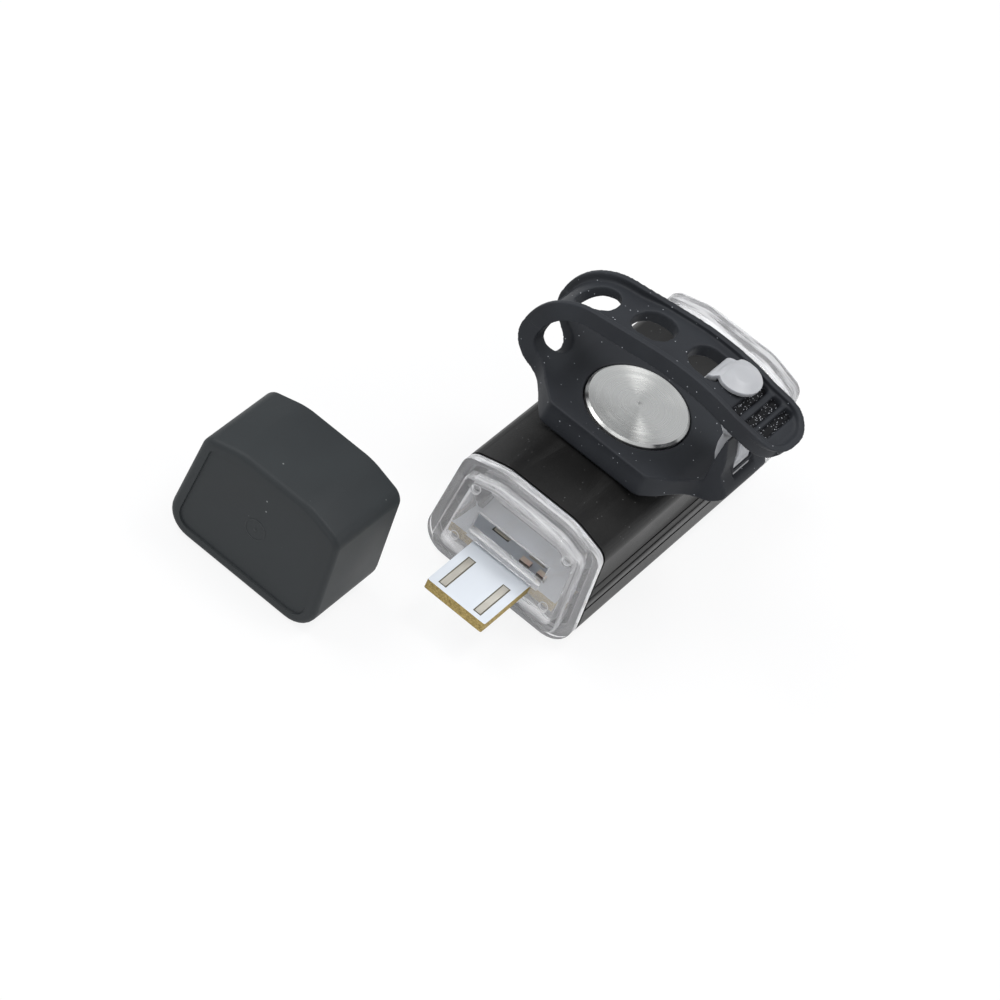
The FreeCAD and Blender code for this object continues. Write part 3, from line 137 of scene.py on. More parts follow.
FLOOR_LEVEL = -0.00005
floor_mesh = bpy.data.meshes.new("floor")
floor_form = bmesh.new()
bmesh.ops.create_grid(floor_form, x_segments=1, y_segments=1, size=3.0)
bmesh.ops.translate(floor_form, vec=(0, 0, FLOOR_LEVEL), verts=floor_form.verts)
floor_form.to_mesh(floor_mesh)
floor_form.free()
floor = bpy.data.objects.new("floor", floor_mesh)
floor_mesh.materials.append(floor_material)
bpy.context.scene.collection.objects.link(floor)

# %% World and lamps
world = bpy.data.worlds.new("studio")
bpy.context.scene.world = world
world.use_nodes = True
world.node_tree.nodes.clear()


def world_node(kind, inputs=None, settings=None):
    """A node of the world, with its sockets set or linked."""
    node = world.node_tree.nodes.new("ShaderNode" + kind)
    for key, value in (settings or {}).items():
        setattr(node, key, value)
    for key, value in (inputs or {}).items():
        if isinstance(value, bpy.types.NodeSocket):
            world.node_tree.links.new(value, node.inputs[key])
        else:
            node.inputs[key].default_value = value
    return node


world_path = world_node("LightPath")
world_soft = world_node("Background", {"Color": (0.95, 0.97, 1.0, 1), "Strength": 0.58})
world_white = world_node("Background", {"Color": (1, 1, 1, 1), "Strength": 1.0})
world_seen = world_node("Math", {0: world_path.outputs["Is Camera Ray"],
                                 1: world_path.outputs["Is Transmission Ray"]}, {"operation": "MAXIMUM"})
world_mix = world_node("MixShader", {0: world_seen.outputs[0], 1: world_soft.outputs[0], 2: world_white.outputs[0]})
world_node("OutputWorld", {"Surface": world_mix.outputs[0]})


def add_panel(name, place, target, width, height, power):
    """A soft rectangular lamp at a place, turned to its target."""
    data = bpy.data.lights.new(name, "AREA")
    data.shape = "RECTANGLE"
    data.size = width
    data.size_y = height
    data.energy = power
    lamp = bpy.data.objects.new(name, data)
    lamp.location = place
    lamp.rotation_euler = (Vector(target) - Vector(place)).to_track_quat("-Z", "Y").to_euler()
    bpy.context.scene.collection.objects.link(lamp)
    return lamp


add_panel("panel_above", (-0.55, -0.15, 0.75), (0, 0, 0.01), 0.6, 0.45, 3.9)
add_panel("panel_right", (0.65, 0.25, 0.45), (0, 0, 0.01), 0.4, 0.4, 1.2)
add_panel("panel_front", (0.1, -0.8, 0.35), (0, 0, 0.01), 0.45, 0.3, 1.1)
add_panel("panel_top", (0.12, 0.16, 0.80), (0, 0, 0.03), 0.25, 0.25, 2.1)
bpy.context.scene.view_settings.view_transform = "Standard"
print("four panels and a pale world")

# %% [markdown]
# ## Finishes
#
# Nearly everything here is black, white or clear, so the finishes differ in how they scatter
# light and in their fine surface, not in colour. Each gets a colour that varies a little, a
# roughness that varies with it, and a fine bump at the scale of the real surface: blasted metal
# has a grain of about 0.2 mm, and its faint sparkle is painted glints, pale specks in its colour;
# moulded rubber has specks of white dust.

# %% Shared pieces of a finish
def object_place(material, scale=(1, 1, 1), shift=(0, 0, 0)):
    """Object coordinates, moved and scaled, as a socket."""
    coordinates = add_node(material, "TexCoord")
    mapping = add_node(material, "Mapping", inputs={"Vector": coordinates.outputs["Object"],
                                                    "Location": shift, "Scale": scale})
    return mapping.outputs[0]


def noise(material, place, scale, detail=3.0, roughness=0.5):
    """A noise value between 0 and 1, as a socket."""
    node = add_node(material, "TexNoise", inputs={"Vector": place, "Scale": scale, "Detail": detail,
                                                  "Roughness": roughness})
    return node.outputs["Fac"]


def spread(material, value, low, high, out_low=0.0, out_high=1.0):
    """A value's range moved to another range."""
    node = add_node(material, "MapRange", inputs={0: value, 1: low, 2: high, 3: out_low, 4: out_high})
    return node.outputs[0]


def two_colours(material, value, first, second):
    """A colour between two, by a value."""
    node = add_node(material, "Mix", {"data_type": "RGBA"})
    for socket, given in ((node.inputs[0], value), (node.inputs[6], first), (node.inputs[7], second)):
        if isinstance(given, bpy.types.NodeSocket):
            material.node_tree.links.new(given, socket)
        else:
            socket.default_value = (*given, 1.0)
    return node.outputs[2]


def bump(material, height, strength, distance):
    """A normal from a height, as a socket."""
    node = add_node(material, "Bump", inputs={"Height": height, "Strength": strength, "Distance": distance})
    return node.outputs[0]


# Grooves get painted shade: their colour is drawn this share of the way towards near black, for the shadow in them.
GROOVE_SHADE = 0.75
GROOVE_SHADE_COLOUR = (0.002, 0.002, 0.003)


def grained(name, dark, light, roughness, grain, depth, metallic=0.0, specular=0.5, speck=None, groove=None,
            **sockets):
    """A finish whose colour and roughness drift a little, over a fine grain.

    A speck is a size, the share of places without one, and a colour: dusty white specks on
    rubber, painted glints on blasted metal for its sparkle. A groove names the attribute that tells
    which places get painted shade, a colour darkened for the shadow in them, and more dusty specks.
    """
    material = new_material(name)
    place = object_place(material)
    drift = noise(material, place, 90.0)
    fine = noise(material, place, 1.0 / grain, detail=2.0)
    colour = two_colours(material, spread(material, drift, 0.3, 0.7), dark, light)
    # Specks are white dust on the rubbers and painted glints on the blasted metal.
    if speck:
        size, share, speck_colour = speck
        cells = add_node(material, "TexVoronoi", {"feature": "F1"}, {"Vector": place, "Scale": 1.0 / size})
        centre = spread(material, cells.outputs["Distance"], 0.10, 0.05)
        luck = noise(material, place, 0.55 / size, detail=0.0)
        if groove:
            deep = add_node(material, "Attribute", {"attribute_name": groove}).outputs["Fac"]
            # Painted shade: places in a groove are darkened towards near black.
            colour = two_colours(material, spread(material, deep, 0, 1, 0, GROOVE_SHADE), colour, GROOVE_SHADE_COLOUR)
        chance = spread(material, luck, share, share + 0.02)
        dust_and_glints = add_node(material, "Math", {"operation": "MULTIPLY"}, {0: centre, 1: chance})
        if groove:
            fine_cells = add_node(material, "TexVoronoi", {"feature": "F1"}, {"Vector": place, "Scale": 2.6 / size})
            fine_dust = add_node(material, "Math", {"operation": "MULTIPLY"},
                                 {0: spread(material, fine_cells.outputs["Distance"], 0.26, 0.16), 1: deep})
            dust_and_glints = add_node(material, "Math", {"operation": "MAXIMUM"},
                            {0: dust_and_glints.outputs[0], 1: fine_dust.outputs[0]})
        colour = two_colours(material, dust_and_glints.outputs[0], colour, speck_colour)
    rough = spread(material, drift, 0.3, 0.7, roughness - 0.04, roughness + 0.04)
    shader = add_node(material, "BsdfPrincipled", inputs={
        "Base Color": colour, "Roughness": rough, "Metallic": metallic, "Specular IOR Level": specular,
        "Normal": bump(material, fine, 0.35, depth), **sockets})
    return set_output(material, shader)


print("helpers ready")

# %% [markdown]
# The case is extruded aluminium, blasted and then anodised black. A fully metallic shader with a
# very dark colour gives too black a body, because the photograph shows a soft charcoal sheen on
# the side that faces the light. A shader that is only a little metallic is closer.

# %% Metals
# The pale grey specks here are painted glints: they stand in for the sparkle of the blasted grain.
black_aluminium = grained("black_aluminium", (0.010, 0.0098, 0.0095), (0.017, 0.0167, 0.0162), 0.42, 0.00022,
                          0.00008, metallic=0.2, specular=0.31, speck=(0.0009, 0.50, (0.20, 0.20, 0.20)))
plain_aluminium = grained("plain_aluminium", (0.62, 0.62, 0.63), (0.72, 0.72, 0.73), 0.38, 0.0006, 0.00002,
                          metallic=1.0)
steel = grained("steel", (0.52, 0.52, 0.53), (0.60, 0.60, 0.61), 0.30, 0.0008, 0.00001, metallic=1.0)
nickel = grained("nickel", (0.60, 0.58, 0.54), (0.70, 0.68, 0.62), 0.28, 0.0005, 0.00001, metallic=1.0)
contact_metal = grained("contact_metal", (0.44, 0.41, 0.35), (0.70, 0.67, 0.60), 0.36, 0.0003, 0.00001,
                        metallic=0.55)

# %% [markdown]
# The disc was faced on a lathe, so its cutter left fine rings round its centre. Rings turn a
# round highlight into two bright cones. The shader has this as anisotropy across the rings,
# and faint rings of bump and of roughness break the cones up as the real cutter marks do.

# %% Turned aluminium
turned_aluminium = new_material("turned_aluminium")
disc_low, disc_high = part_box("pivot_screw")
disc_middle = (disc_low + disc_high) / 2
from_axis = object_place(turned_aluminium, shift=(-disc_middle.x, -disc_middle.y, -disc_high.z))
flat_from_axis = add_node(turned_aluminium, "VectorMath", {"operation": "MULTIPLY"}, {0: from_axis, 1: (1, 1, 0)})
distance = add_node(turned_aluminium, "VectorMath", {"operation": "LENGTH"}, {0: flat_from_axis.outputs[0]})
ring_place = add_node(turned_aluminium, "CombineXYZ", inputs={"X": distance.outputs["Value"]})
rings = noise(turned_aluminium, ring_place.outputs[0], 6500.0, detail=4.0, roughness=0.7)
broad = noise(turned_aluminium, ring_place.outputs[0], 900.0, detail=2.0)
ring_colour = two_colours(turned_aluminium, spread(turned_aluminium, rings, 0.3, 0.7), (0.70, 0.70, 0.68),
                          (0.88, 0.88, 0.85))
ring_rough = spread(turned_aluminium, broad, 0.3, 0.7, 0.22, 0.34)
radial = add_node(turned_aluminium, "Tangent", {"direction_type": "RADIAL", "axis": "Z"})
turned_shader = add_node(turned_aluminium, "BsdfPrincipled", inputs={
    "Base Color": ring_colour, "Metallic": 1.0, "Roughness": ring_rough, "Anisotropic": 0.85,
    "Anisotropic Rotation": 0.25, "Tangent": radial.outputs[0],
    "Normal": bump(turned_aluminium, rings, 0.25, 0.00002)})
set_output(turned_aluminium, turned_shader)
print("disc radius in mm:", round((disc_high.x - disc_low.x) * 500, 2))

# %% [markdown]
# Rubber is dark blue grey where light grazes it and nearly black elsewhere. The strap has caught
# a little white dust, most of it in the grip grooves, and the grooves also get painted shade, a colour
# darkened for the shadow in them. The cap's rubber is smoother and cleaner.
# The two small lamps behind the window are cream blocks with dark sides.

# %% Rubbers and plastics
black_rubber = grained("black_rubber", (0.018, 0.0195, 0.0235), (0.026, 0.029, 0.034), 0.56, 0.00035, 0.00003,
                       specular=0.22, speck=(0.0010, 0.52, (0.62, 0.64, 0.68)), groove="groove")
grey_rubber = grained("grey_rubber", (0.035, 0.034, 0.038), (0.055, 0.054, 0.058), 0.6, 0.0004, 0.00002)
button_rubber = grained("button_rubber", (0.016, 0.017, 0.019), (0.024, 0.025, 0.027), 0.55, 0.0004, 0.00002)
switch_black = grained("switch_black", (0.012, 0.012, 0.013), (0.02, 0.02, 0.021), 0.4, 0.0006, 0.00001)
chip_black = grained("chip_black", (0.014, 0.014, 0.015), (0.022, 0.022, 0.023), 0.45, 0.0004, 0.00001)
cell_wrap = grained("cell_wrap", (0.44, 0.43, 0.44), (0.54, 0.53, 0.54), 0.35, 0.002, 0.00002, metallic=0.3)
foam = grained("foam", (0.05, 0.05, 0.052), (0.09, 0.09, 0.092), 0.9, 0.0005, 0.00012)
lead_cover = grained("lead_cover", (0.50, 0.04, 0.03), (0.56, 0.05, 0.04), 0.4, 0.001, 0.00001)
milky_plastic = grained("milky_plastic", (0.40, 0.405, 0.42), (0.46, 0.465, 0.48), 0.42, 0.0015, 0.00001,
                        **{"Subsurface Weight": 0.6, "Subsurface Radius": (0.9, 0.95, 1.0),
                           "Subsurface Scale": 0.0012})
mirror_plastic = grained("mirror_plastic", (0.86, 0.86, 0.87), (0.92, 0.92, 0.93), 0.08, 0.002, 0.000003,
                         metallic=1.0)
emitter_yellow = grained("emitter_yellow", (0.78, 0.62, 0.12), (0.86, 0.70, 0.18), 0.3, 0.001, 0.00001)
lamp_pale = new_material("lamp_pale")
lamp_normal = add_node(lamp_pale, "SeparateXYZ", inputs={0: add_node(lamp_pale, "NewGeometry").outputs["Normal"]})
lamp_top = spread(lamp_pale, lamp_normal.outputs["Z"], 0.6, 0.8)
lamp_drift = spread(lamp_pale, noise(lamp_pale, object_place(lamp_pale), 700.0), 0.35, 0.65)
lamp_cream = two_colours(lamp_pale, lamp_drift, (0.82, 0.78, 0.66), (0.84, 0.62, 0.52))
lamp_shader = add_node(lamp_pale, "BsdfPrincipled", inputs={
    "Base Color": two_colours(lamp_pale, lamp_top, (0.10, 0.08, 0.07), lamp_cream), "Roughness": 0.3})
set_output(lamp_pale, lamp_shader)
print("rubbers and plastics ready")

# %% [markdown]
# The clear ends are polycarbonate. Glass in a renderer is exact, and a moulding is not: it has
# small waves, a faint haze, and streaks round its edges. A transmission shader with a little bump
# gives the waves, and the part of it that isn't transmission, in thin bands, gives the streaks.
# Only the sides have them: the faces along the beam are polished in the mould and come out
# nearly clear. The pins that push the moulding out leave four round marks in the rear end.

# %% Clear plastic
END_CLEAR = 0.84
MARK_CLEAR = 0.35


def clear(name, haziest, clearest, strength, marks=()):
    """Clear moulded plastic with streaks on its sides, between two shares of transmission, and round marks."""
    material = new_material(name)
    normal = add_node(material, "SeparateXYZ", inputs={0: add_node(material, "NewGeometry").outputs["Normal"]})
    facing = add_node(material, "Math", {"operation": "ABSOLUTE"}, {0: normal.outputs["Y"]})
    on_end = spread(material, facing.outputs[0], 0.6, 0.9)
    streaks = noise(material, object_place(material, scale=(0.1, 1, 0.1)), 1100.0, detail=2.0)
    waves = noise(material, object_place(material), 260.0, detail=2.0)
    relief = add_node(material, "Math", {"operation": "ADD"}, {0: streaks, 1: waves})
    side_share = spread(material, streaks, 0.38, 0.62, haziest, clearest)
    clear_share = add_node(material, "Mix", {"data_type": "FLOAT"},
                           {0: on_end, 2: side_share, 3: END_CLEAR}).outputs[0]
    for x, z, radius in marks:
        place = object_place(material, shift=(-x, 0, -z))
        flat = add_node(material, "VectorMath", {"operation": "MULTIPLY"}, {0: place, 1: (1, 0, 1)})
        away = add_node(material, "VectorMath", {"operation": "LENGTH"}, {0: flat.outputs[0]})
        off_line = add_node(material, "Math", {"operation": "SUBTRACT"}, {0: away.outputs["Value"], 1: radius})
        off_line = add_node(material, "Math", {"operation": "ABSOLUTE"}, {0: off_line.outputs[0]})
        line = spread(material, off_line.outputs[0], 0.00016, 0.00006)
        line = add_node(material, "Math", {"operation": "MULTIPLY"}, {0: line, 1: on_end})
        clear_share = add_node(material, "Mix", {"data_type": "FLOAT"},
                               {0: line.outputs[0], 2: clear_share, 3: MARK_CLEAR}).outputs[0]
    shader = add_node(material, "BsdfPrincipled", inputs={
        "Base Color": (0.98, 0.98, 0.99), "Roughness": 0.03, "IOR": 1.45,
        "Transmission Weight": clear_share, "Normal": bump(material, relief.outputs[0], strength, 0.0003)})
    return set_output(material, shader)


EJECTOR_MARKS = tuple((side * 0.0095, level, 0.0008) for side in (-1, 1) for level in (0.0069, 0.0184))
clear_rear = clear("clear_rear", 0.52, 0.86, 0.025, EJECTOR_MARKS)
clear_front = clear("clear_front", 0.50, 0.90, 0.02)
print("clear plastics ready")

# %% [markdown]
# The board is fibreglass with a white mask on both faces, so a sawn edge shows its straw colour.
# A dark line is drawn round each contact. The height on
# the board tells face from edge, and the distance from each contact's middle gives the line. A
# small test pad behind the window is drawn in the same way.

# %% White board
white_board = new_material("white_board")
board_low, board_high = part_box("main_board")
board_place = add_node(white_board, "TexCoord").outputs["Object"]
board_axes = add_node(white_board, "SeparateXYZ", inputs={0: board_place})
top_face = add_node(white_board, "Math", {"operation": "GREATER_THAN"},
                    {0: board_axes.outputs["Z"], 1: board_high.z - 0.00003})
low_face = add_node(white_board, "Math", {"operation": "LESS_THAN"},
                    {0: board_axes.outputs["Z"], 1: board_low.z + 0.00003})
any_face = add_node(white_board, "Math", {"operation": "MAXIMUM"}, {0: top_face.outputs[0], 1: low_face.outputs[0]})
weave = noise(white_board, object_place(white_board), 2600.0, detail=4.0, roughness=0.75)
sawn = two_colours(white_board, spread(white_board, weave, 0.35, 0.65), (0.20, 0.14, 0.035), (0.50, 0.37, 0.13))
mask = two_colours(white_board, spread(white_board, noise(white_board, board_place, 70.0), 0.3, 0.7),
                   (0.61, 0.645, 0.69), (0.67, 0.705, 0.75))
contact_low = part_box("plug_contacts")[0]
CONTACT_MIDDLE = 0.00365
CONTACT_LENGTH = 0.0082
LINE_HALF = 0.00080
LINE_PAST = 0.00022
from_middle = add_node(white_board, "Math", {"operation": "ABSOLUTE"}, {0: board_axes.outputs["X"]})
from_contact = add_node(white_board, "Math", {"operation": "SUBTRACT"},
                        {0: from_middle.outputs[0], 1: CONTACT_MIDDLE})
beside = add_node(white_board, "Math", {"operation": "ABSOLUTE"}, {0: from_contact.outputs[0]})
in_width = add_node(white_board, "Math", {"operation": "LESS_THAN"}, {0: beside.outputs[0], 1: LINE_HALF})
past_front = add_node(white_board, "Math", {"operation": "GREATER_THAN"},
                      {0: board_axes.outputs["Y"], 1: contact_low.y - LINE_PAST})
before_rear = add_node(white_board, "Math", {"operation": "LESS_THAN"},
                       {0: board_axes.outputs["Y"], 1: contact_low.y + CONTACT_LENGTH + LINE_PAST})
in_length = add_node(white_board, "Math", {"operation": "MULTIPLY"},
                     {0: past_front.outputs[0], 1: before_rear.outputs[0]})
contact_outline = add_node(white_board, "Math", {"operation": "MULTIPLY"}, {0: in_length.outputs[0], 1: in_width.outputs[0]})
# A dark line is drawn round each contact.
lined_mask = two_colours(white_board, contact_outline.outputs[0], mask, (0.10, 0.09, 0.06))
TEST_PAD = (("X", -0.0038, 0.0014), ("Y", -0.0284, 0.0004))
pad_away = []
for axis, middle, half in TEST_PAD:
    off = add_node(white_board, "Math", {"operation": "SUBTRACT"}, {0: board_axes.outputs[axis], 1: middle})
    off = add_node(white_board, "Math", {"operation": "ABSOLUTE"}, {0: off.outputs[0]})
    off = add_node(white_board, "Math", {"operation": "SUBTRACT"}, {0: off.outputs[0], 1: half})
    pad_away.append(off.outputs[0])
pad_edge = add_node(white_board, "Math", {"operation": "MAXIMUM"}, {0: pad_away[0], 1: pad_away[1]})
lined_mask = two_colours(white_board, spread(white_board, pad_edge.outputs[0], 0.00034, 0.00030), lined_mask,
                         (0.05, 0.05, 0.045))
lined_mask = two_colours(white_board, spread(white_board, pad_edge.outputs[0], 0.00002, -0.00002), lined_mask,
                         (0.80, 0.76, 0.62))
board_colour = two_colours(white_board, any_face.outputs[0], sawn, lined_mask)
board_rough = spread(white_board, any_face.outputs[0], 0, 1, 0.75, 0.3)
board_shader = add_node(white_board, "BsdfPrincipled", inputs={
    "Base Color": board_colour, "Roughness": board_rough, "Normal": bump(white_board, weave, 0.1, 0.00002)})
set_output(white_board, board_shader)
print("board top at", round(board_high.z * 1000, 2), "mm")

# %% [markdown]
# ## Dress the hard pieces
#
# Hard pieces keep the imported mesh, whose shape is exact. Only their material is changed. Soft
# pieces get their material too, although a softer copy takes their place further down.

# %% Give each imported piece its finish
FINISHES = {
    "body_shell": black_aluminium, "rear_end_lens": clear_rear, "front_lens": clear_front,
    "rear_seal": grey_rubber, "front_seal": grey_rubber, "front_reflector": mirror_plastic,
    "led_board": plain_aluminium, "led_emitter": emitter_yellow, "heat_spreader": plain_aluminium,
    "main_board": white_board, "plug_contacts": contact_metal, "charge_leds": lamp_pale,
    "board_chips": chip_black, "tactile_switch": switch_black, "switch_plunger": button_rubber,
    "switch_button": button_rubber, "battery_cell": cell_wrap, "battery_pad": foam, "battery_tabs": nickel,
    "led_leads": lead_cover, "pivot_screw": turned_aluminium, "pivot_bushing": plain_aluminium,
    "pivot_washer": steel, "pivot_nut": steel, "strap_saddle": black_rubber, "strap_band": black_rubber,
    "strap_hook": milky_plastic,
}
for node_name, finish in FINISHES.items():
    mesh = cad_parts[node_name].data
    mesh.materials.clear()
    mesh.materials.append(finish)
print(len(FINISHES), "packed pieces dressed")

# %% [markdown]
# ## Round the edges that catch the light
#
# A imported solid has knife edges, and a real one never has: even a sawn edge is broken. A thin
# bright line along an edge tells the eye what a piece is made of. So the pieces that show their
# edges are copied, their loose triangles are merged into flat faces again, and each sharp edge
# gets a small bevel.

# %% Helper: a copy with broken edges
MM = 0.001
MERGE = 0.0005


def edged_copy(name, node_name, width, finish, body, segments=2, sharp=28):
    """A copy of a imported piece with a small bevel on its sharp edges, width in mm."""
    form = bmesh.new()
    form.from_mesh(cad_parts[node_name].data)
    bmesh.ops.scale(form, vec=(1000, 1000, 1000), verts=form.verts)
    bmesh.ops.remove_doubles(form, verts=form.verts, dist=MERGE)
    bmesh.ops.dissolve_limit(form, angle_limit=math.radians(0.6), verts=form.verts, edges=form.edges)
    edges = [edge for edge in form.edges if edge.is_manifold and edge.calc_face_angle(0.0) > math.radians(sharp)]
    bmesh.ops.bevel(form, geom=edges, offset=width, offset_type="OFFSET", segments=segments, profile=0.5,
                    affect="EDGES", clamp_overlap=True, material=-1)
    bmesh.ops.triangulate(form, faces=[face for face in form.faces if len(face.verts) > 4])
    bmesh.ops.scale(form, vec=(MM, MM, MM), verts=form.verts)
    mesh = bpy.data.meshes.new(name)
    form.to_mesh(mesh)
    form.free()
    mesh.shade_smooth()
    mesh.set_sharp_from_angle(angle=math.radians(30))
    mesh.materials.append(finish)
    piece = bpy.data.objects.new(name, mesh)
    bpy.context.scene.collection.objects.link(piece)
    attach(piece, body)
    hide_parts(node_name)
    print(name, "has", len(mesh.polygons), "faces,", len(edges), "edges broken")
    return piece


# %% Case, clear ends and board with broken edges
edged_copy("case", "body_shell", 0.10, black_aluminium, "case")
edged_copy("clear_end", "rear_end_lens", 0.16, clear_rear, "case", segments=3)
edged_copy("lens", "front_lens", 0.42, clear_front, "case", segments=5)
board = edged_copy("board", "main_board", 0.03, white_board, "case", segments=1)
PLUG_HALF, PLUG_ROUND = 0.006, 0.0012
for vert in board.data.vertices:
    corner = Vector((math.copysign(PLUG_HALF - PLUG_ROUND, vert.co.x), board_low.y + PLUG_ROUND))
    away = vert.co.xy - corner
    if abs(vert.co.x) > PLUG_HALF - PLUG_ROUND and vert.co.y < corner.y:
        square = corner + away * (away.length / max(abs(away.x), abs(away.y)) * 0.9 + 0.1)
        vert.co.x, vert.co.y = square

# %% [markdown]
# ## The moulded rubber strap
#
# The real strap is one moulding: a saddle round the disc, an ear that holds the hook, and a band
# that folds over and ends in a grip tab. All its edges are softly rounded, because a mould can't
# cut rubber sharp. Bevelling every edge of such a shape by hand would take an afternoon. Instead
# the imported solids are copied, closed into one skin of small even cells, and smoothed, which
# rounds all edges by the same few tenths of a millimetre.
#
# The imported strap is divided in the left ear, where its joint is. The skin runs over that gap.
# It is then parted again at the joint, so that each half moves with its own body and no line
# shows between them.

# %% Helper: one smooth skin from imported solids
def skin_of(name, node_names, cell, passes, extra=None, reshape=None):
    """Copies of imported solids, joined into one even skin, smoothed and reshaped. Sizes in mm."""
    form = bmesh.new()
    for node_name in node_names:
        form.from_mesh(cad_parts[node_name].data)
    bmesh.ops.scale(form, vec=(1000, 1000, 1000), verts=form.verts)
    bmesh.ops.remove_doubles(form, verts=form.verts, dist=MERGE)
    if extra:
        extra(form)
    mesh = bpy.data.meshes.new(name)
    form.to_mesh(mesh)
    form.free()
    piece = bpy.data.objects.new(name, mesh)
    bpy.context.scene.collection.objects.link(piece)
    remesh = piece.modifiers.new("cells", "REMESH")
    remesh.mode = "VOXEL"
    remesh.voxel_size = cell
    graph = bpy.context.evaluated_depsgraph_get()
    skin = bpy.data.meshes.new_from_object(piece.evaluated_get(graph))
    piece.modifiers.clear()
    form = bmesh.new()
    form.from_mesh(skin)
    for _ in range(passes):
        bmesh.ops.smooth_vert(form, verts=form.verts, factor=0.5, use_axis_x=True, use_axis_y=True,
                              use_axis_z=True)
    for vert in form.verts if reshape else ():
        vert.co = reshape(*vert.co)
    for _ in range(2 if reshape else 0):
        bmesh.ops.smooth_vert(form, verts=form.verts, factor=0.5, use_axis_x=True, use_axis_y=True,
                              use_axis_z=True)
    bmesh.ops.scale(form, vec=(MM, MM, MM), verts=form.verts)
    form.to_mesh(mesh)
    form.free()
    bpy.data.meshes.remove(skin)
    mesh.shade_smooth()
    print(name, "has", len(mesh.polygons), "cells")
    return piece


def fill_joint(form):
    """A short block across the gap in the left ear, with the section of the band.

    The tip of the hook's ear is lowered first, so that the cells don't join it to the band.
    """
    lowest = min(form.verts, key=lambda vert: vert.co.z)
    saddle_verts = {lowest}
    front = [lowest]
    while front:
        for edge in front.pop().link_edges:
            for vert in edge.verts:
                if vert not in saddle_verts:
                    saddle_verts.add(vert)
                    front.append(vert)
    for vert in saddle_verts:
        if vert.co.x > 12:
            vert.co.z -= 0.7 * min(max((vert.co.z - 37.0) / 2.0, 0.0), 1.0)
    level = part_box("strap_band")[0].z * 1000
    foot = [face for face in form.faces if all(abs(vert.co.z - level) < 0.02 for vert in face.verts)]
    copy = bmesh.ops.duplicate(form, geom=foot)["geom"]
    faces = [item for item in copy if isinstance(item, bmesh.types.BMFace)]
    verts = [item for item in copy if isinstance(item, bmesh.types.BMVert)]
    bmesh.ops.translate(form, vec=(0, 0, 0.15), verts=verts)
    block = bmesh.ops.extrude_face_region(form, geom=faces)["geom"]
    low = [item for item in block if isinstance(item, bmesh.types.BMVert)]
    bmesh.ops.translate(form, vec=(0, 0, -0.6), verts=low)
    print("joint filled with", len(faces), "faces of section")


# %% Strap skin
strap = skin_of("strap", ("strap_saddle", "strap_band"), 0.2, 3, fill_joint)

# %% [markdown]
# Rubber isn't straight. A few moves, each a smooth function of place, bring both halves nearer to
# the photograph. On the saddle, the front wall leans out to its foot, the web behind the left ear
# is fuller, and the hook's ear is thin and leans in. On the band, the rims are low and the grip
# grooves deep, and the tab rises and reaches further.

# %% Moves of the saddle
def share(value, start, end):
    """How far a value is on its way from start to end, eased, between 0 and 1."""
    part = min(max((value - start) / (end - start), 0.0), 1.0)
    return part * part * (3 - 2 * part)


EAR_INNER = 17.2
HOOK_MIDDLE = -5.1


def thin_ear(x, z):
    """A place across the hook's ear, drawn in towards the ear's inner face."""
    return EAR_INNER + (x - EAR_INNER) * (1 - 0.55 * share(x, 14.0, 15.5) * share(z, 29.5, 33.5))


def reshape_saddle(x, y, z):
    """A place on the saddle, in mm, moved to where the photograph has it."""
    lean = 0.7 * share(y, -13.0, -16.5) * share(z, 28.1, 24.0)
    web = 0.9 * math.exp(-((x + 15.3) / 1.8) ** 2) * share(y, 0.2, 1.0) * share(z, 31.0, 29.5)
    in_lip = share(x, 15.6, 16.2) * share(x, 18.9, 18.6) * share(z, 29.8, 30.0) * share(z, 34.0, 33.4)
    in_lip = in_lip * share(abs(y - HOOK_MIDDLE), 4.0, 3.4)
    out_lip = share(x, 19.2, 19.8) * share(z, 31.0, 33.5) * share(z, 35.0, 34.4)
    out_lip = out_lip * share(abs(y - HOOK_MIDDLE), 3.4, 3.0)
    lowered = 0.8 * in_lip * max(z - 29.8, 0.0)
    return (thin_ear(x, z) + 0.5 * out_lip, y - lean + web, z - lowered - 1.5 * out_lip, 0.0)


# %% Moves of the band
def rim_level(x):
    """Height of the band's rims at a place along it, in mm."""
    if x > 20.0:
        end = rim_level(20.0)
        return end + (x - 20.0) / 5.7 * (41.5 - end)
    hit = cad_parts["strap_band"].ray_cast(Vector((x * MM, -0.0109, 0.06)), Vector((0, 0, -1)))
    return hit[1].z * 1000 if hit[0] else 46.0


RIMS = [rim_level(-12.0 + step * 0.5) for step in range(84)]
DEPTHS = ((0.0, 0.0), (1.52, 0.85), (2.2, 2.3), (3.4, 3.4), (9.0, 9.0))
FLAT_DEPTHS = ((0.0, 0.0), (1.52, 0.85), (2.4, 0.95), (3.4, 3.4), (9.0, 9.0))


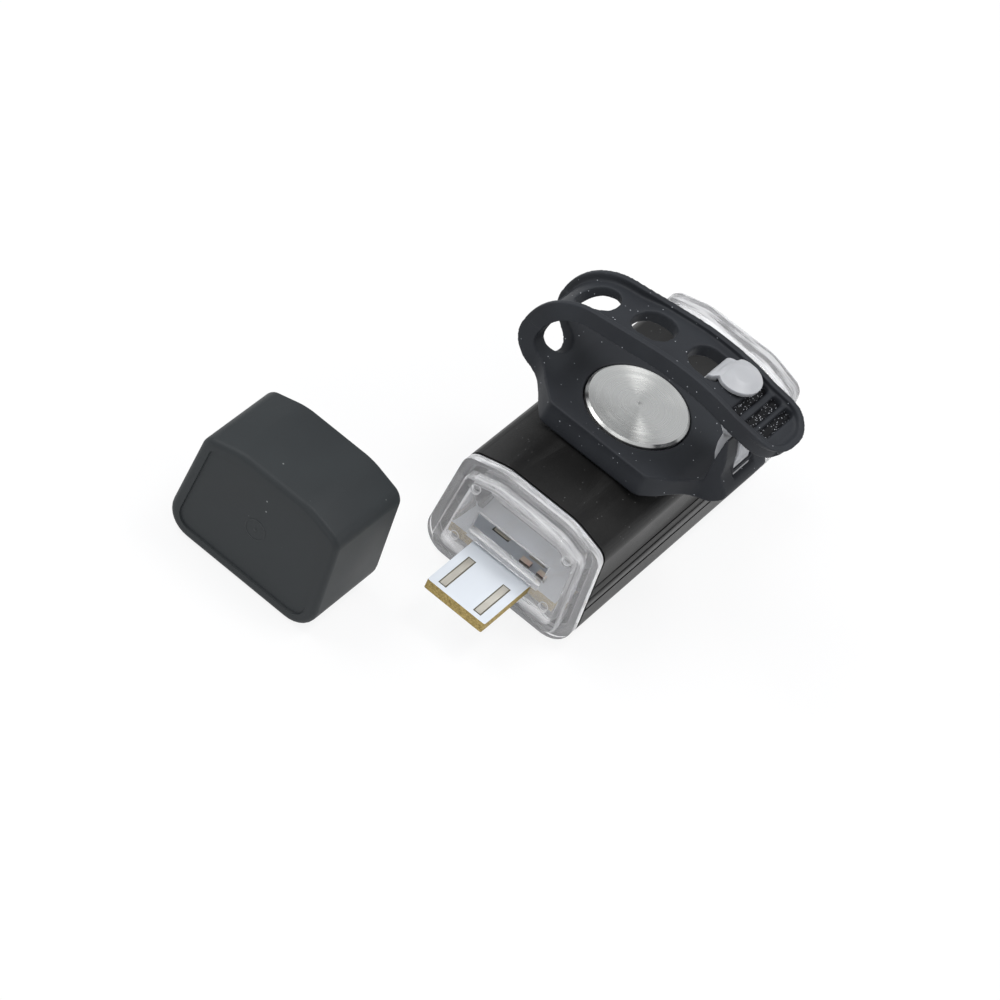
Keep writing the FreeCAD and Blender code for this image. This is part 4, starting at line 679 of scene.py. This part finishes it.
def reshape_band(x, y, z):
    """A place on the band, in mm, moved to where the photograph has it, and whether it is in a groove."""
    groove = 0.0
    if x > -11.0 and z > 37.0:
        place = (x + 12.0) * 2
        low = min(int(place), len(RIMS) - 2)
        level = RIMS[low] + (RIMS[low + 1] - RIMS[low]) * (place - low)
        depth = level - z
        past_groove = y - HOOK_MIDDLE < -4.9 + 0.27 * max(x - 16.4, 0.0) and x > 14.5
        depths = FLAT_DEPTHS if past_groove else DEPTHS
        for (start, new_start), (end, new_end) in zip(depths, depths[1:]):
            if start <= depth < end:
                new_depth = new_start + (depth - start) / (end - start) * (new_end - new_start)
                z = level - depth - (new_depth - depth) * share(x, -10.0, -4.0)
                groove = share(depth, 1.75, 2.1) * share(depth, 2.75, 2.5) * share(x, 14.8, 15.4)
                groove *= share(abs(y - HOOK_MIDDLE), 5.1, 4.9) * (0.0 if past_groove else 1.0)
    on_tab = max((x - 17.0) / 8.7, 0.0) * share(z, 36.0, 37.5)
    return (x + 0.7 * on_tab, y, z + 1.2 * on_tab, groove)


# %% Part the strap at its joint
joint_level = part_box("strap_band")[0].z - 0.00015


def part_of(whole, name, keep_above, reshape):
    """The part of a piece above or below the joint on its left side, with the cut closed, reshaped."""
    form = bmesh.new()
    form.from_mesh(whole.data)
    left = [face for face in form.faces if face.calc_center_median().x < -0.012]
    edges = {edge for face in left for edge in face.edges}
    verts = {vert for face in left for vert in face.verts}
    cut = bmesh.ops.bisect_plane(form, geom=left + list(edges) + list(verts), dist=0.000001,
                                 plane_co=(0, 0, joint_level), plane_no=(0, 0, 1))
    ring = [item for item in cut["geom_cut"] if isinstance(item, bmesh.types.BMEdge)]
    bmesh.ops.split_edges(form, edges=ring)
    form.faces.ensure_lookup_table()
    start = max(form.faces, key=lambda face: face.calc_center_median().z)
    band = {start}
    front = [start]
    while front:
        face = front.pop()
        for edge in face.edges:
            for other in edge.link_faces:
                if other not in band:
                    band.add(other)
                    front.append(other)
    drop = [face for face in form.faces if (face in band) != keep_above]
    bmesh.ops.delete(form, geom=drop, context="FACES")
    rims = [edge for edge in form.edges if edge.is_boundary]
    bmesh.ops.holes_fill(form, edges=rims, sides=0)
    groove_layer = form.verts.layers.float.new("groove")
    furthest = 0.0
    for vert in form.verts:
        x, y, z, vert[groove_layer] = reshape(*(vert.co * 1000))
        furthest = max(furthest, (vert.co * 1000 - Vector((x, y, z))).length)
        vert.co = (x * MM, y * MM, z * MM)
    mesh = bpy.data.meshes.new(name)
    form.to_mesh(mesh)
    form.free()
    mesh.shade_smooth()
    piece = bpy.data.objects.new(name, mesh)
    bpy.context.scene.collection.objects.link(piece)
    mesh.materials.append(black_rubber)
    print(name, "has", len(mesh.polygons), "faces, moved by up to", round(furthest, 2), "mm")
    return piece


saddle = part_of(strap, "saddle", False, reshape_saddle)
band = part_of(strap, "band", True, reshape_band)
bpy.data.objects.remove(strap)
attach(saddle, "swivel")
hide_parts("strap_saddle")
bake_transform(band)
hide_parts("strap_band")

# %% [markdown]
# ## The hook
#
# A milky plastic strip comes out of the ear, goes up through the band's hole and ends in a round
# head that holds the band down. It is softly rounded too, at a finer cell.

# %% Hook skin
HEAD_X = 12.9
HEAD_Y = HOOK_MIDDLE
OLD_STRIP = ((19.9, 29.9), (19.9, 33.5), (18.0, 34.8), (16.0, 36.16), (14.0, 37.52), (12.0, 38.89), (8.9, 41.0))
NEW_STRIP = ((19.8, 29.9), (19.0, 31.4), (17.6, 33.0), (17.5, 35.2), (17.2, 38.0), (14.2, 40.3), (8.9, 41.6))
NEW_HALF = (1.0, 1.2, 1.9, 2.2, 1.8, 1.0, 1.0)
HEAD_FOOT = 44.6
HEAD_LOW = 44.9
NECK_FOOT = 42.2
NECK_X = 8.9
HEAD_RADIUS = 3.7


def onto_new_strip(x, z):
    """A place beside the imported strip's middle line, moved beside the new line, which is thicker in the ear."""
    best = None
    for number in range(len(OLD_STRIP) - 1):
        start, end = Vector(OLD_STRIP[number]), Vector(OLD_STRIP[number + 1])
        along = end - start
        part = min(max((Vector((x, z)) - start).dot(along) / along.length_squared, 0.0), 1.0)
        away = Vector((x, z)) - start - along * part
        if best is None or away.length < best[0]:
            side = along.normalized().cross(away)
            beyond = (Vector((x, z)) - start).dot(along.normalized()) - part * along.length
            best = (away.length, number, part, side, beyond)
    _, number, part, side, beyond = best
    start, end = Vector(NEW_STRIP[number]), Vector(NEW_STRIP[number + 1])
    along = (end - start).normalized()
    half = NEW_HALF[number] + (NEW_HALF[number + 1] - NEW_HALF[number]) * part
    return start + (end - start) * part + along * beyond + Vector((-along.y, along.x)) * side * half


def reshape_hook(x, y, z):
    """A place on the hook, in mm: the strip keeps close under the band, neck and head are one comma."""
    rear = 1.4 * max(min(max((x - NECK_X) / 1.8, 0.0), 1.0), 0.75 * share(y, HEAD_Y - 1.0, HEAD_Y + 2.0))
    inward = 0.6 * share(x, 11.0, 8.5)
    if z > HEAD_FOOT:
        narrow = 1.0 + 0.01 * share(x, 9.5, 11.0)
        x = HEAD_X + (x - HEAD_X) * narrow + inward - 0.5 * share(x, 9.5, 12.0)
        y = HEAD_Y + (y - HEAD_Y) * narrow
        away = math.hypot(x - HEAD_X, y - HEAD_Y) / HEAD_RADIUS
        z = HEAD_LOW + (z - HEAD_FOOT) * (0.74 - 0.30 * share(away, 0.4, 1.05))
        return (x, y + rear, z)
    if x < 11.0 and z > NECK_FOOT:
        narrow = 1 - 0.1 * share(z, HEAD_FOOT, 43.4)
        rise = share(z, 42.8, HEAD_FOOT)
        return (x + inward * rise, HEAD_Y + (y - HEAD_Y) * narrow + rear * rise,
                z + 0.3 * share(z, NECK_FOOT, HEAD_FOOT))
    new = onto_new_strip(x, z)
    stay = share(z, NECK_FOOT, 41.2)
    x, z = x + (new.x - x) * stay, z + (new.y - z) * stay
    return (x, y, z)


hook = skin_of("hook", ("strap_hook",), 0.12, 8, None, reshape_hook)
hook.data.materials.clear()
hook.data.materials.append(milky_plastic)
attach(hook, "swivel")
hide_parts("strap_hook")

# %% [markdown]
# ## The cap
#
# The cap is a deep moulding with the outline of the case. Its closed face has a broad round rim
# and a panel sunk by a fine step. One flat outline, extruded and inset, makes all of it: the
# outline starts as six corners, and a bevel of each corner gives it its own radius.

# %% Outline of the case
CORNERS = (
    (15.55, 0.0, 4.8), (14.05, 21.35, 2.6), (7.0, 23.6, 10.0),
    (-7.0, 23.6, 10.0), (-14.05, 21.35, 2.6), (-15.55, 0.0, 4.8),
)


def outline_face(form, y):
    """A flat face with the outline of the case, facing the beam's rear, in mm."""
    verts = [bmesh.ops.create_vert(form, co=(x, y, z))["vert"][0] for x, z, _ in CORNERS]
    face = bmesh.ops.contextual_create(form, geom=verts)["faces"][0]
    for number, (x, z, radius) in enumerate(CORNERS):
        before = CORNERS[number - 1]
        after = CORNERS[(number + 1) % len(CORNERS)]
        one = Vector((before[0] - x, before[1] - z)).normalized()
        two = Vector((after[0] - x, after[1] - z)).normalized()
        reach = radius / math.tan(one.angle(two) / 2)
        vert = min(form.verts, key=lambda item: (item.co - Vector((x, y, z))).length)
        bmesh.ops.bevel(form, geom=[vert], offset=reach, offset_type="OFFSET", segments=8, profile=0.5,
                        affect="VERTICES", material=-1)
    face = max(form.faces, key=lambda item: item.calc_area())
    if face.normal.y > 0:
        face.normal_flip()
    return face


def turned_edges(form, y):
    """Edges at one place along the beam, where the surface turns."""
    return [edge for edge in form.edges if all(abs(vert.co.y - y) < 0.001 for vert in edge.verts)
            and edge.calc_face_angle(0.0) > math.radians(30)]


# %% Cap form
cap_low, cap_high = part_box("usb_cap")
cap_depth = (cap_high.y - cap_low.y) * 1000
CAP_WALL = 1.7
CAP_FRONT = 2.0
form = bmesh.new()
closed_face = outline_face(form, 0.0)
wall = bmesh.ops.extrude_face_region(form, geom=[closed_face])
mouth = [item for item in wall["geom"] if isinstance(item, bmesh.types.BMFace)][0]
bmesh.ops.translate(form, vec=(0, cap_depth, 0), verts=mouth.verts)
mouth.normal_flip()
bmesh.ops.recalc_face_normals(form, faces=form.faces)
bmesh.ops.inset_region(form, faces=[mouth], thickness=CAP_WALL, use_even_offset=True)
hollow = bmesh.ops.extrude_discrete_faces(form, faces=[mouth])["faces"][0]
bmesh.ops.translate(form, vec=(0, CAP_FRONT - cap_depth, 0), verts=hollow.verts)
rim = turned_edges(form, 0.0)
bmesh.ops.bevel(form, geom=rim, offset=1.1, offset_type="OFFSET", segments=6, profile=0.5, affect="EDGES",
                material=-1)
panel = min(form.faces, key=lambda item: (item.calc_center_median().y, -item.calc_area()))
bmesh.ops.inset_region(form, faces=[panel], thickness=0.9, use_even_offset=True)
bmesh.ops.inset_region(form, faces=[panel], thickness=0.12, depth=-0.3, use_even_offset=True)
bmesh.ops.inset_region(form, faces=[panel], thickness=0.1, use_even_offset=True)
mouth_rim = turned_edges(form, cap_depth)
bmesh.ops.bevel(form, geom=mouth_rim, offset=0.35, offset_type="OFFSET", segments=3, profile=0.5,
                affect="EDGES", material=-1)
bmesh.ops.translate(form, vec=((cap_low.x + cap_high.x) * 500, cap_low.y * 1000, 0), verts=form.verts)
bmesh.ops.scale(form, vec=(MM, MM, MM), verts=form.verts)
cap_mesh = bpy.data.meshes.new("cap")
form.to_mesh(cap_mesh)
form.free()
cap_mesh.shade_smooth()
cap_mesh.set_sharp_from_angle(angle=math.radians(40))
cap = bpy.data.objects.new("cap", cap_mesh)
bpy.context.scene.collection.objects.link(cap)
print("cap depth in mm:", round(cap_depth, 2), "faces:", len(cap_mesh.polygons))

# %% [markdown]
# The gate's ring and nub in the middle of the panel are only hundredths of a millimetre deep.
# They are drawn as bump, from the distance to the panel's middle.

# %% Cap finish
cap_rubber = new_material("cap_rubber")
cap_place = object_place(cap_rubber)
GATE_LEVEL = 0.0118
GATE_RADIUS = 0.0019
gate_place = object_place(cap_rubber, shift=(-(cap_low.x + cap_high.x) / 2, 0, -GATE_LEVEL))
gate_flat = add_node(cap_rubber, "VectorMath", {"operation": "MULTIPLY"}, {0: gate_place, 1: (1, 0, 1)})
gate_distance = add_node(cap_rubber, "VectorMath", {"operation": "LENGTH"}, {0: gate_flat.outputs[0]})
gate_line = add_node(cap_rubber, "Math", {"operation": "SUBTRACT"},
                     {0: gate_distance.outputs["Value"], 1: GATE_RADIUS})
gate_off = add_node(cap_rubber, "Math", {"operation": "ABSOLUTE"}, {0: gate_line.outputs[0]})
gate_ring = spread(cap_rubber, gate_off.outputs[0], 0.00022, 0.0, 0.0, 1.0)
gate_nub = spread(cap_rubber, gate_distance.outputs["Value"], 0.0004, 0.0001, 0.0, 1.0)
gate_height = add_node(cap_rubber, "Math", {"operation": "ADD"}, {0: gate_ring, 1: gate_nub})
on_face = add_node(cap_rubber, "SeparateXYZ", inputs={0: cap_place})
near_face = add_node(cap_rubber, "Math", {"operation": "LESS_THAN"},
                     {0: on_face.outputs["Y"], 1: cap_low.y + 0.0012})
gate = add_node(cap_rubber, "Math", {"operation": "MULTIPLY"}, {0: gate_height.outputs[0], 1: near_face.outputs[0]})
cap_drift = noise(cap_rubber, cap_place, 90.0)
cap_grain = noise(cap_rubber, cap_place, 2600.0, detail=2.0)
cap_cells = add_node(cap_rubber, "TexVoronoi", {"feature": "F1"}, {"Vector": cap_place, "Scale": 520.0})
cap_spot = spread(cap_rubber, cap_cells.outputs["Distance"], 0.10, 0.05)
cap_chance = spread(cap_rubber, noise(cap_rubber, cap_place, 290.0, detail=0.0), 0.64, 0.66)
cap_dust = add_node(cap_rubber, "Math", {"operation": "MULTIPLY"}, {0: cap_spot, 1: cap_chance})
cap_base = two_colours(cap_rubber, spread(cap_rubber, cap_drift, 0.3, 0.7),
                       (0.016, 0.019, 0.021), (0.020, 0.024, 0.026))
cap_colour = two_colours(cap_rubber, cap_dust.outputs[0], cap_base, (0.20, 0.21, 0.21))
cap_fine = bump(cap_rubber, cap_grain, 0.3, 0.00002)
cap_bump = add_node(cap_rubber, "Bump", inputs={"Height": gate.outputs[0], "Strength": 1.0, "Distance": 0.0001,
                                                "Normal": cap_fine})
cap_shader = add_node(cap_rubber, "BsdfPrincipled", inputs={
    "Base Color": cap_colour, "Roughness": spread(cap_rubber, cap_drift, 0.3, 0.7, 0.50, 0.58),
    "Specular IOR Level": 0.31, "Normal": cap_bump.outputs[0]})
set_output(cap_rubber, cap_shader)
cap_mesh.materials.append(cap_rubber)
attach(cap, "cap")
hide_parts("usb_cap")
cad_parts["usb_cap"].data.materials.clear()
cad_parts["usb_cap"].data.materials.append(cap_rubber)
